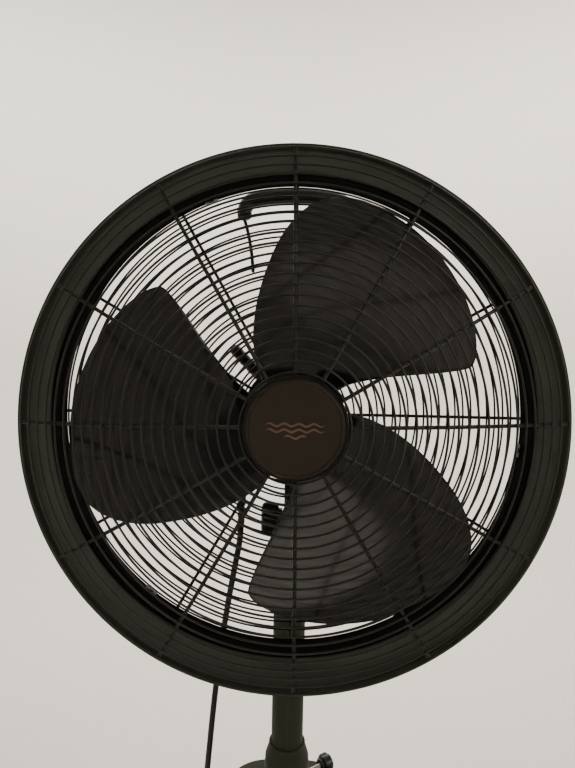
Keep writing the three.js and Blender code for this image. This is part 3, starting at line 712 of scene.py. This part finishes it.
def make_dial_marks(front):
    parts = []
    for i in range(DIAL_NUMBERS):
        angle = math.radians(DIAL_STEP * i)
        curve = bpy.data.curves.new(f"dial_{i}", "FONT")
        curve.body = str(i)
        curve.size = 0.0062
        curve.extrude = 0.0001
        curve.align_x = "CENTER"
        curve.align_y = "CENTER"
        text = bpy.data.objects.new(f"dial_{i}", curve)
        bpy.context.scene.collection.objects.link(text)
        spot = Vector((0.0288 * math.sin(angle), front - 0.0001, SPEED_POINT.z + 0.0288 * math.cos(angle)))
        text.matrix_world = Matrix.Translation(spot) @ Matrix.Rotation(math.radians(90), 4, "X")
        bpy.context.view_layer.update()
        mesh = bpy.data.meshes.new_from_object(text.evaluated_get(bpy.context.evaluated_depsgraph_get()))
        mesh.transform(text.matrix_world)
        vertices = [tuple(vertex.co) for vertex in mesh.vertices]
        parts.append((vertices, [tuple(face.vertices) for face in mesh.polygons]))
        bpy.data.objects.remove(text)
    for i in range(6 * (DIAL_NUMBERS - 1) + 1):
        angle = math.radians(DIAL_STEP / 6 * i)
        if i % 6 == 0:
            continue
        mark = block((-0.0002, front - 0.0002, 0.0280), (0.0002, front + 0.0003, 0.0296))
        turn = Matrix.Translation((0, 0, SPEED_POINT.z)) @ Matrix.Rotation(angle, 4, "Y")
        parts.append(([turn @ Vector(point) for point in mark[0]], mark[1]))
    piece("dial_marks", *merge(parts), "mast", None, material=PRINT)


# ---- Neck ----
def make_neck():
    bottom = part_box("housing_rear")[1].z
    sleeve = [
        (0.0199, bottom - 0.009), (0.0338, bottom - 0.009), (0.0338, bottom - 0.003),
        (0.0280, bottom - 0.003), (0.0280, bottom + 0.001), (0.0290, bottom + 0.0018),
        (0.0290, bottom + 0.0042), (0.0278, bottom + 0.0052), (0.0274, bottom + 0.036),
        (0.0278, bottom + 0.0372), (0.0278, bottom + 0.0437), (0.0273, bottom + 0.0445),
        (0.0199, bottom + 0.0445),
    ]
    turned("neck_sleeve_body", sleeve, STAND_TURNED, "mast", "black_plastic", ["neck_sleeve"], sides=80,
           round_by=0.0005)
    low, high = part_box("neck_collar")
    collar = [
        (0.0199, low.z), (0.0270, low.z), (0.0270, low.z + 0.0084), (0.0264, low.z + 0.0104),
        (0.0232, low.z + 0.0202), (0.0226, low.z + 0.0222), (0.0226, high.z - 0.0006), (0.0220, high.z),
        (0.0199, high.z),
    ]
    turned("neck_collar_ring", collar, STAND_TURNED, "mast", "shroud_paint", ["neck_collar"], sides=80,
           round_by=0.0004)
    out = NECK_KNOB_OUT
    side = Vector((0, 0, 1)).cross(out).normalized()
    place = frame_at(Vector((0, 0, NECK_KNOB_POINT.z)), side, out.cross(side), out)
    boss = [(0.0036, 0.0255), (0.0100, 0.0255), (0.0088, 0.0322), (0.0080, 0.0330), (0.0036, 0.0330)]
    turned("neck_boss", boss, place, "mast", "black_plastic", sides=40, round_by=0.0004)
    thread = [(0.0, 0.0200)]
    pitch = 0.00125
    turns = 24
    for k in range(turns):
        at = 0.0218 + pitch * k
        thread += [(0.0026, at), (0.0031, at + pitch * 0.5)]
    thread += [(0.003, 0.0535), (0.0, 0.0535)]
    turned("neck_stud_thread", thread, place, "neck_knob", "steel", ["neck_stud"], sides=24,
           closed=False, round_by=0)
    hand_knob("neck_knob_grip", "neck_knob", place, "neck_knob", 0.0120, 7, 0.0016, 0.052, 0.068)
    low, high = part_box("upper_tube")
    tube = [(0.018, low.z), (0.0195, low.z), (0.0195, high.z), (0.018, high.z)]
    turned("upper_tube_shell", tube, STAND_TURNED, "mast", "shroud_paint", ["upper_tube"], sides=64,
           round_by=0.0003)


def hand_knob(name, node, place, body, radius, lobes, depth, start, end):
    """A lobed knob between two places on the frame's Z, with a collar on the side that clamps."""
    length = end - start
    neck = radius * 0.62
    profile = [
        (0.0, start), (neck, start), (neck + 0.0006, start + 0.0006), (neck + 0.0006, start + 0.16 * length),
        (radius * 0.86, start + 0.2 * length), (radius * 0.97, start + 0.26 * length),
        (radius, start + 0.36 * length), (radius, end - 0.2 * length), (radius * 0.96, end - 0.1 * length),
        (radius * 0.86, end - 0.03 * length), (radius * 0.72, end), (radius * 0.5, end - 0.02 * length),
        (radius * 0.42, end - 0.05 * length), (0.0, end - 0.05 * length),
    ]
    turned(
        name, profile, place, body, "black_plastic", [node], sides=lobes * 20, closed=False,
        flutes=(lobes, depth * 1.15, start + 0.19 * length, end, radius * 0.8), round_by=0.0006, sharp=60,
    )


# ---- Tilt joint ----
def make_tilt_joint():
    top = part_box("upper_tube")[1].z
    plug = [
        (0.0, top - 0.033), (0.0172, top - 0.033), (0.0172, top + 0.0003), (0.0205, top + 0.0003),
        (0.0205, top + 0.0095), (0.0196, top + 0.0122), (0.0176, top + 0.014), (0.0, top + 0.014),
    ]
    vertices, faces = lathe(rounded(plug, 0.0006, 3, False), 64, False)
    ear_low = 0.0088
    ear_high = 0.0198
    pivot = PIVOT.z
    outline = [(-0.0165, pivot - 0.050), (-0.015, pivot - 0.02)]
    outline += [(y, z) for y, z in reversed(arc((0, pivot), 0.015, 0, 180, 24))]
    outline += [(0.015, pivot - 0.02), (0.0165, pivot - 0.050)]
    piece("tilt_bracket_plug", vertices, faces, "mast", "cast_aluminium", ["tilt_bracket"])
    ear = piece("tilt_bracket_ear", *slab(outline, ear_low, ear_high), "mast", "cast_aluminium")
    bevelled(ear, 0.0016)
    web = [(-0.006, pivot - 0.048), (0.006, pivot - 0.048), (0.006, pivot - 0.032), (-0.006, pivot - 0.032)]
    rib = piece("tilt_bracket_rib", *slab(web, -0.004, ear_low + 0.001), "mast", "cast_aluminium")
    bevelled(rib, 0.001)

    across = Matrix.Translation(PIVOT) @ Matrix.Rotation(math.radians(90), 4, "Y")
    washer = [(0.0044, 0.0199), (0.0105, 0.0199), (0.0105, 0.0212), (0.0044, 0.0212)]
    turned("tilt_washer", washer, across, "mast", "steel", sides=48, round_by=0.0002)
    hexagon = []
    for z, shrink in [(0.0213, 0.0), (0.0254, 0.0), (0.0261, 0.0009)]:
        for k in range(6):
            angle = math.radians(60 * k + 30)
            hexagon.append(((0.0078 - shrink) * math.cos(angle), (0.0078 - shrink) * math.sin(angle), z))
    faces = [tuple(range(6))[::-1], tuple(range(12, 18))]
    for level in (0, 6):
        for k in range(6):
            k2 = (k + 1) % 6
            faces.append((level + k, level + k2, level + 6 + k2, level + 6 + k))
    piece("tilt_bolt_head", hexagon, faces, "mast", "steel", ["tilt_bolt"], across, sharp=20)
    hand_knob("tilt_knob_grip", "tilt_knob", across @ Matrix.Rotation(math.pi, 4, "X"), "tilt_knob",
              0.0205, 6, 0.0025, 0.0106, 0.0356)

    rise = (AXIS_POINT - PIVOT).dot(UP)
    top = rise - 0.0455
    outline = []
    for k in range(9):
        t = k / 8
        y = -0.016 * (1 - t) ** 2 - 0.034 * t * (1 - t) - 0.030 * t**2
        z = (top - 0.026) * (1 - t) ** 2 + 2 * (top - 0.008) * t * (1 - t) + (top - 0.006) * t**2
        outline.append((y, z))
    saddle = [(-0.030, top), (-0.020, top + 0.0006), (0.020, top + 0.0006), (0.030, top)]
    outline += saddle + [(-y, z) for y, z in reversed(outline)]
    outline += arc((0, 0), 0.016, 0, -180, 24)
    foot = piece("motor_foot_arm", *slab(outline, -0.0085, 0.0085), "head", "cast_aluminium",
                 ["motor_foot"], PIVOT_HEAD)
    bevelled(foot, 0.0018)


# ---- Motor ----
def make_motor():
    can = [
        (0.0113, -0.058), (0.030, -0.058), (0.0315, -0.0572), (0.040, -0.0572), (0.0435, -0.0562),
        (0.0455, -0.0538), (0.046, -0.051), (0.046, -0.036), (0.0448, -0.035), (0.0448, -0.033),
        (0.046, -0.032), (0.046, -0.022), (0.0448, -0.021), (0.0448, -0.019), (0.046, -0.018),
        (0.046, -0.008), (0.0448, -0.007), (0.0448, -0.005), (0.046, -0.004), (0.046, 0.0299),
        (0.044, 0.0299), (0.044, -0.052), (0.0113, -0.055),
    ]
    turned("motor_can", can, HEAD_TURNED, "head", "black_paint", ["motor_housing"], sides=96,
           round_by=0.0006)
    cover = [
        (0.0, 0.058), (0.012, 0.058), (0.013, 0.0574), (0.022, 0.0572), (0.030, 0.0556), (0.037, 0.0522),
        (0.0428, 0.047), (0.0455, 0.041), (0.046, 0.038), (0.046, 0.0306), (0.0436, 0.0306),
        (0.0436, 0.039), (0.041, 0.0446), (0.036, 0.0495), (0.029, 0.0531), (0.018, 0.0545), (0.0, 0.0548),
    ]
    made = turned("motor_rear_cover", cover, HEAD_TURNED, "head", "black_paint", ["motor_end_cover"],
                  sides=96, closed=False, round_by=0.0006)
    slots = []
    for k in range(16):
        slot = block((-0.0017, 0.040, 0.0215), (0.0017, 0.062, 0.0395))
        turn = HEAD @ Matrix.Rotation(math.radians(22.5 * k), 4, "Y")
        slots.append(([turn @ Vector(point) for point in slot[0]], slot[1]))
    cut_away(made, merge(slots))
    for k in range(4):
        turn = HEAD @ Matrix.Rotation(math.radians(90 * k + 45), 4, "Y")
        spot = turn @ Matrix.Translation((0, 0.0505, 0.0406)) @ Matrix.Rotation(math.radians(-55), 4, "X")
        screw(f"motor_screw_{k + 1}", spot, "head", 0.003, 0.0016)

    low, high = span("terminal_box", HEAD)
    box = piece("terminal_box_case", *block(low, (high[0] - 0.0004, high[1], high[2])), "head",
                "black_plastic", ["terminal_box"], HEAD)
    bevelled(box, 0.0035, 4)
    lid_low = (low[0] - 0.0016, low[1] + 0.003, low[2] + 0.004)
    lid_high = (low[0] + 0.001, high[1] - 0.003, high[2] - 0.004)
    made = piece("terminal_box_lid", *block(lid_low, lid_high), "head", "black_plastic", (), HEAD)
    bevelled(made, 0.0012)
    for k, z in enumerate((low[2] + 0.010, high[2] - 0.010)):
        spot = HEAD @ Matrix.Translation((low[0] - 0.0014, (low[1] + high[1]) / 2, z))
        turn = spot @ Matrix.Rotation(math.radians(-90), 4, "Y")
        screw(f"terminal_screw_{k + 1}", turn, "head", 0.0026, 0.0013)


def cut_away(made, cutter_mesh):
    """Cuts the (vertices, faces) out of a piece."""
    mesh = bpy.data.meshes.new("cutter")
    mesh.from_pydata([tuple(v) for v in cutter_mesh[0]], [], cutter_mesh[1])
    cutter = bpy.data.objects.new("cutter", mesh)
    bpy.context.scene.collection.objects.link(cutter)
    shape = bmesh.new()
    shape.from_mesh(mesh)
    bmesh.ops.recalc_face_normals(shape, faces=shape.faces)
    shape.to_mesh(mesh)
    shape.free()
    cutting = made.modifiers.new("cut", "BOOLEAN")
    cutting.operation = "DIFFERENCE"
    cutting.solver = "EXACT"
    cutting.object = cutter
    bpy.context.view_layer.update()
    apply_modifiers(made)
    made.data.set_sharp_from_angle(angle=math.radians(38))
    bpy.data.objects.remove(cutter)


# ---- Shroud and the ring at its back ----
def make_shroud():
    profile = [
        (243, -78), (243, -171), (243.7, -173.4), (245.2, -174.8), (247, -175), (249, -174.2), (250, -172.2),
        (249.8, -170.2), (248.6, -169), (246.4, -168.4), (245, -166.8), (244.8, -164), (244.8, -128),
        (245.6, -127), (246, -125.6), (245.6, -124.2), (244.8, -123.2), (244.8, -84), (245.4, -82.4),
        (246.8, -81.4), (247, -79.4), (246.2, -78),
    ]
    turned("shroud_drum", mm(profile), HEAD_TURNED, "head", "shroud_paint", ["shroud"], sides=256,
           round_by=0.0006, sharp=50)
    ring = [
        (241.2, -115), (242.4, -115), (242.4, -78), (241.2, -78), (241.2, -93.6), (240.8, -94.8),
        (240.4, -96), (240.8, -97.2), (241.2, -98.4),
    ]
    # The rear ring wears the painted-shade copy of the black plastic, darker than its own plastic.
    turned("rear_ring_band", mm(ring), HEAD_TURNED, "head", "black_plastic", ["rear_ring"], sides=256,
           round_by=0.0004, material=RING_PAINTED_SHADE)
    for k in range(3):
        angle = 98 + 120 * k
        turn = HEAD @ Matrix.Rotation(math.radians(angle), 4, "Y")
        plate = block((-0.007, -0.0885, 0.2396), (0.007, -0.079, 0.2410))
        clip = piece(f"clip_plate_{k + 1}", *plate, "head", "black_paint", [f"grille_clip_{k + 1}"], turn)
        bevelled(clip, 0.0005)
        spot = turn @ Matrix.Translation((0, -0.0842, 0.2397)) @ Matrix.Rotation(math.pi, 4, "X")
        screw(f"clip_screw_{k + 1}", spot, "head", 0.0032, 0.0010, "black_paint")


# ---- Wire grilles ----
FRONT_DOME = 0.052
FRONT_EDGE = 0.249
FRONT_POWER = 2.2
FRONT_BACK = RIM_Y - 0.0003
FRONT_TURN = math.radians(-0.8)
REAR_DOME = 0.0116
REAR_BACK = -0.0631
SPOKES = 12
WIRE = 0.0021
SPOKE_WIRE = 0.0034
FRONT_RINGS = [0.045 + 0.009 * i for i in range(23)]
REAR_RINGS = [0.0575 + 0.0083 * i for i in range(23)]


def front_dome(r):
    return FRONT_BACK - FRONT_DOME * (1 - min(1.0, r / FRONT_EDGE) ** FRONT_POWER)


def rear_dome(r):
    return REAR_BACK - REAR_DOME * (max(0.0, r - 0.056) / (FRONT_EDGE - 0.056)) ** 1.5


def spoke_points(dome, offset, start, end, angle, steps=22):
    points = []
    for k in range(steps + 1):
        r = start + (end - start) * k / steps
        points.append((r * math.cos(angle), r * math.sin(angle), dome(r) + offset))
    return points


def wire_rings(radii, dome, behind):
    """Rings of grille wire that lie behind or in front of a dome."""
    return [ring_tube(r, dome(r) + behind, WIRE, sides=6) for r in radii]


def wire_spokes(dome, behind, start, end, turn):
    spokes = []
    for k in range(SPOKES):
        angle = 2 * math.pi * k / SPOKES + math.pi / 2 + turn
        spokes.append(sweep(spoke_points(dome, behind, start, end, angle), SPOKE_WIRE / 2, 8))
    return merge(spokes)


def make_front_grille():
    # The front wires wear the lighter copy of the wire paint, painted light in place of their own shade.
    rings = merge(wire_rings(FRONT_RINGS, front_dome, -0.0034))
    piece("front_wire_rings", *rings, "head", "black_paint", ["front_grille"], HEAD_TURNED, sharp=80,
          material=WIRE_PAINTED_LIGHT)
    spokes = wire_spokes(front_dome, -0.0009, 0.040, 0.2425, FRONT_TURN)
    piece("front_wire_spokes", *spokes, "head", "black_paint", ["front_grille"], HEAD_TURNED, sharp=60,
          material=WIRE_PAINTED_LIGHT)
    disc = [
        (0.005, front_dome(0) + 0.0002), (0.043, front_dome(0.043)), (0.0436, front_dome(0.043) - 0.0012),
        (0.0430, front_dome(0.043) - 0.0030), (0.005, front_dome(0) - 0.0030),
    ]
    turned("front_hub_disc", disc, HEAD_TURNED, "head", "black_paint", ["front_grille"], sides=96,
           round_by=0.0003)


def make_rear_grille():
    rings = [*wire_rings(REAR_RINGS, rear_dome, -0.0036), ring_tube(0.2455, -0.0754, 0.0042)]
    piece("rear_wire_rings", *merge(rings), "head", "black_paint", ["rear_grille"], HEAD_TURNED, sharp=80)
    spokes = wire_spokes(rear_dome, -0.0010, 0.050, 0.2450, 0)
    piece("rear_wire_spokes", *spokes, "head", "black_paint", ["rear_grille"], HEAD_TURNED, sharp=60)
    plate = [
        (0.012, -0.0628), (0.046, -0.0628), (0.048, -0.0634), (0.0545, -0.0634), (0.055, -0.0630),
        (0.055, -0.0600), (0.0545, -0.0594), (0.046, -0.0586), (0.012, -0.0586),
    ]
    turned("grille_plate_disc", plate, HEAD_TURNED, "head", "iron", ["grille_plate"], sides=96,
           round_by=0.0003)
    for k in range(4):
        angle = math.radians(90 * k + 45)
        spot = HEAD @ Matrix.Translation((0.040 * math.sin(angle), -0.0628, 0.040 * math.cos(angle)))
        screw(f"plate_screw_{k + 1}", spot @ Matrix.Rotation(math.radians(90), 4, "X"), "head")


# ---- Badge ----
def make_badge():
    low, high = span("hub_badge", HEAD)
    front = float(low[1])
    back = float(high[1])
    profile = [
        (0.0, back), (0.0394, back), (0.040, back - 0.0006), (0.040, back - 0.0048), (0.0394, back - 0.0066),
        (0.0382, front + 0.0002), (0.0376, front), (0.0372, front + 0.0004), (0.0368, front + 0.0012),
        (0.0360, front + 0.0012), (0.0, front + 0.0010),
    ]
    turned("badge_disc", profile, HEAD_TURNED, "head", "badge_plastic", ["hub_badge"], sides=128,
           closed=False, round_by=0.0003, sharp=30)
    parts = []
    for height, half, waves in [(0.0034, 0.0235, 4), (-0.0012, 0.0235, 4), (-0.0062, 0.009, 1.5)]:
        parts.append(wave_line(height, half, waves, front + 0.0010))
    piece("badge_waves", *merge(parts), "head", None, (), HEAD, material=LETTER_COPPER)


def wave_line(height, half, waves, y):
    """A raised ribbon along X that rises and falls, with pointed ends."""
    vertices = []
    steps = 72
    for k in range(steps + 1):
        t = k / steps
        x = -half + 2 * half * t
        rise = 0.0011 * math.sin(2 * math.pi * waves * t)
        width = 0.00085 * min(1.0, 10 * t, 10 * (1 - t)) + 0.0001
        z = height + rise
        vertices += [(x, y, z + width), (x, y - 0.0005, z + width * 0.6)]
        vertices += [(x, y - 0.0005, z - width * 0.6), (x, y, z - width)]
    faces = []
    for k in range(steps):
        for s in range(4):
            s2 = (s + 1) % 4
            a = 4 * k
            faces.append((a + s, a + 4 + s, a + 4 + s2, a + s2))
    faces.append((0, 1, 2, 3))
    faces.append(tuple(reversed(range(4 * steps, 4 * steps + 4))))
    return vertices, faces


# ---- Rotor ----
BLADE_ROOT = 0.0312
BLADE_TIP = 0.218
BLADE_MIDDLE = -0.130
BLADE_SWEEP = 0.062
BLADE_THICKNESS = 0.0024
BLADE_CAMBER = 0.006


def blade_outline(r):
    """Centre angle and half width in degrees, and the two edges as shares of that half width."""
    along = max(0.0, 1 - (r - 0.070) / 0.130)
    centre = 14 + 22 * (1 - along**1.6)
    half_width = 46.5 - 70 * (r - 0.070)
    farthest = BLADE_TIP + 0.0006
    front = max(0.0, (r - 0.150) / (farthest - 0.150))
    rear = max(0.0, (r - 0.185) / (farthest - 0.185))
    start = -0.2 - 0.8 * (1 - front**2.4) ** 0.26
    end = -0.2 + 1.2 * (1 - rear**2.4) ** 0.8
    return centre, half_width, start, end


def blade_mesh(turn, radial_steps=64, chord_steps=44):
    vertices = []
    for side in (-1, 1):
        for i in range(radial_steps + 1):
            r = BLADE_ROOT + (BLADE_TIP - BLADE_ROOT) * (1 - (1 - i / radial_steps) ** 2.2)
            centre, half_width, start, end = blade_outline(r)
            for j in range(chord_steps + 1):
                share = 0.5 - 0.5 * math.cos(math.pi * j / chord_steps)
                across = start + (end - start) * share
                angle = math.radians(centre + half_width * across + turn)
                y = BLADE_MIDDLE + BLADE_SWEEP / 2 * across + BLADE_CAMBER * (1 - across * across)
                arc_length = min(share, 1 - share) * (end - start) * math.radians(half_width) * r
                edge = min(1.0, arc_length / 0.0025, max(0.15, (BLADE_TIP - r) / 0.0025))
                thick = BLADE_THICKNESS * (0.16 + 0.84 * math.sqrt(max(0.0, 1 - (1 - edge) ** 2)))
                vertices.append((r * math.sin(angle), y + side * thick / 2, r * math.cos(angle)))
    row = chord_steps + 1
    layer = row * (radial_steps + 1)
    faces = []
    for i in range(radial_steps):
        for j in range(chord_steps):
            a = i * row + j
            faces.append((a, a + 1, a + row + 1, a + row))
            faces.append((layer + a, layer + a + row, layer + a + row + 1, layer + a + 1))
        start = i * row
        end = start + chord_steps
        faces.append((start, start + row, layer + start + row, layer + start))
        faces.append((end, layer + end, layer + end + row, end + row))
    for j in range(chord_steps):
        tip = radial_steps * row + j
        faces.append((j, layer + j, layer + j + 1, j + 1))
        faces.append((tip, tip + 1, layer + tip + 1, layer + tip))
    return vertices, faces


def make_rotor():
    for k in range(3):
        piece(f"blade_{k + 1}_moulding", *blade_mesh(120 * k), "rotor", "blade_plastic", [f"blade_{k + 1}"],
              HEAD, sharp=70)
    hub = [
        (0.0053, -0.160), (0.020, -0.160), (0.0265, -0.1592), (0.0302, -0.1566), (0.0322, -0.1524),
        (0.0324, -0.148), (0.0324, -0.1000), (0.0320, -0.0984), (0.0308, -0.098), (0.0282, -0.098),
        (0.0276, -0.1010), (0.0276, -0.150), (0.0110, -0.154), (0.0110, -0.099), (0.0053, -0.098),
    ]
    turned("blade_hub_body", hub, HEAD_TURNED, "rotor", "black_plastic", ["blade_hub"], sides=96,
           round_by=0.0006)
    nut = [
        (0.0, -0.180), (0.0100, -0.180), (0.0118, -0.1794), (0.0136, -0.1776), (0.0180, -0.1722),
        (0.0196, -0.1700), (0.0200, -0.1680), (0.0200, -0.1614), (0.0194, -0.1604), (0.0, -0.1603),
    ]
    turned("lock_nut_body", nut, HEAD_TURNED, "rotor", "black_plastic", ["lock_nut"], sides=160,
           flutes=(16, 0.0012, -0.1724, -0.1603, 0.0175), closed=False, round_by=0.0004)


# ---- Carry grip, its stays and the aiming handle ----
GRIP_RADIUS = 0.0085
GRIP_END = 0.004
GRIP_RIBBED = 0.042
GRIP_RIB_PITCH = 0.0085


def make_handles():
    half = mm([
        (-59, -30, 219.5), (-59.6, -26.5, 230.5), (-54, -25, 240.5), (-40, -25, 244.7), (-20, -25, 246.8),
    ])
    middle = mm([(0, -25, 247.5)])
    points = half + middle + [(-x, y, z) for x, y, z in reversed(half)]
    path = smooth_path(points, 10)
    total = path_length(path)
    radii = []
    at = 0.0
    for k, point in enumerate(path):
        if k:
            at += (point - path[k - 1]).length
        end = min(at, total - at)
        radius = GRIP_RADIUS
        if end < GRIP_END:
            radius *= math.sqrt(max(0.05, 1 - (1 - end / GRIP_END) ** 2))
        middle_at = abs(at - total / 2)
        if middle_at < GRIP_RIBBED:
            radius *= 1 - 0.045 * (0.5 + 0.5 * math.cos(2 * math.pi * middle_at / GRIP_RIB_PITCH))
        radii.append(radius)
    piece("carry_grip_bar", *sweep(path, radii, 20), "head", "black_plastic", ["carry_grip"], HEAD, sharp=60)
    for name, side in (("left", -1), ("right", 1)):
        stay = mm([
            (59 * side, -31, 217), (55 * side, -39, 203.5), (50 * side, -51, 180.5), (47 * side, -63, 158.5),
            (46.5 * side, -66.5, 154), (46.2 * side, -70.5, 157),
        ])
        path = smooth_path(stay, 8)
        piece(f"grip_stay_wire_{name}", *sweep(path, 0.002, 12), "head", "black_paint",
              [f"grip_stay_{name}"], HEAD, sharp=60)
    rod = [(0.0, 0.0468), (0.0100, 0.0468), (0.0104, 0.0474), (0.0104, 0.0498), (0.0098, 0.0510),
           (0.0076, 0.0530), (0.0072, 0.0546)]
    at = 0.0560
    while at < 0.0960:
        rod += [(0.0072, at), (0.0068, at + 0.0009), (0.0068, at + 0.0016), (0.0072, at + 0.0025)]
        at += 0.0058
    rod += [(0.0070, 0.0990), (0.0065, 0.1020), (0.0050, 0.1046), (0.0026, 0.1058), (0.0, 0.1060)]
    place = HEAD @ Matrix.Translation((0, 0.005, 0)) @ Matrix.Rotation(math.radians(-45), 4, "Y")
    turned("aim_handle_rod", rod, place, "head", "black_plastic", ["aim_handle"], sides=40, closed=False,
           round_by=0.0003)


make_base()
make_tubes()
make_housing()
make_neck()
make_tilt_joint()
make_motor()
make_shroud()
make_front_grille()
make_rear_grille()
make_badge()
make_rotor()
make_handles()


# ---- CAD nodes that stay in view ----
def dress_cad_nodes():
    for subpart in frame["record"]["subparts"]:
        node = frame["nodes"][subpart["node"]]
        if node.hide_render:
            continue
        node.data.materials.clear()
        node.data.materials.append(MATERIALS[subpart["material_slot"]])
        node.data.shade_smooth()
        node.data.set_sharp_from_angle(angle=math.radians(30))


dress_cad_nodes()


# ---- Studio ----
WALL_RADIUS = 3.6
WALL_HEIGHT = 5.2
WALL_CURVE = 1.0


def make_studio():
    """A pale round floor that curves up into a wall all round, open at the top."""
    profile = [(0.0, 0.0), (0.6, 0.0), (1.4, 0.0), (WALL_RADIUS - WALL_CURVE, 0.0)]
    for k in range(1, 17):
        angle = math.pi / 2 * k / 16
        reach = WALL_RADIUS - WALL_CURVE + WALL_CURVE * math.sin(angle)
        profile.append((reach, WALL_CURVE * (1 - math.cos(angle))))
    profile.append((WALL_RADIUS, WALL_HEIGHT))
    vertices, faces = lathe([(r, z - 0.0002) for r, z in profile], 96, False)
    mesh = bpy.data.meshes.new("studio_floor")
    mesh.from_pydata(vertices, [], faces)
    floor = bpy.data.objects.new("studio_floor", mesh)
    bpy.context.scene.collection.objects.link(floor)
    floor.data.shade_smooth()
    material = bpy.data.materials.new("studio_pale")
    material.use_nodes = True
    shader = material.node_tree.nodes["Principled BSDF"]
    set_input(shader, "Roughness", 0.9)
    set_input(shader, "Specular IOR Level", 0.1)
    shader.inputs["Base Color"].default_value = (0.80, 0.775, 0.735, 1)
    floor.data.materials.append(material)


def area_light(name, place, target, size, power, color):
    data = bpy.data.lights.new(name, "AREA")
    data.shape = "RECTANGLE"
    data.size = size[0]
    data.size_y = size[1]
    data.energy = power
    data.color = color
    lamp = bpy.data.objects.new(name, data)
    bpy.context.scene.collection.objects.link(lamp)
    lamp.location = place
    lamp.rotation_mode = "QUATERNION"
    lamp.rotation_quaternion = (Vector(target) - Vector(place)).to_track_quat("-Z", "Y")


def make_lights():
    world = bpy.data.worlds.new("pale")
    world.use_nodes = True
    background = world.node_tree.nodes["Background"]
    background.inputs["Color"].default_value = (1.0, 0.97, 0.92, 1)
    background.inputs["Strength"].default_value = 0.22
    bpy.context.scene.world = world
    head = AXIS_POINT
    area_light("wall_left", (-1.1, 1.3, 3.3), (-0.9, 3.6, 0.9), (1.6, 0.8), 84, (1.0, 0.975, 0.94))
    area_light("wall_right", (1.1, 1.3, 3.3), (1.0, 3.6, 0.9), (1.6, 0.8), 96, (1.0, 0.94, 0.85))
    area_light("key", (1.5, -1.5, 2.9), head, (0.9, 0.6), 18, (1.0, 0.99, 0.96))
    area_light("soft_left", (-1.25, -2.2, 0.64), head, (1.5, 0.85), 5, (1.0, 0.9, 0.78))
    area_light("soft_right", (1.4, -2.1, 0.8), head, (1.2, 0.8), 1.2, (1.0, 0.9, 0.78))


make_studio()
make_lights()
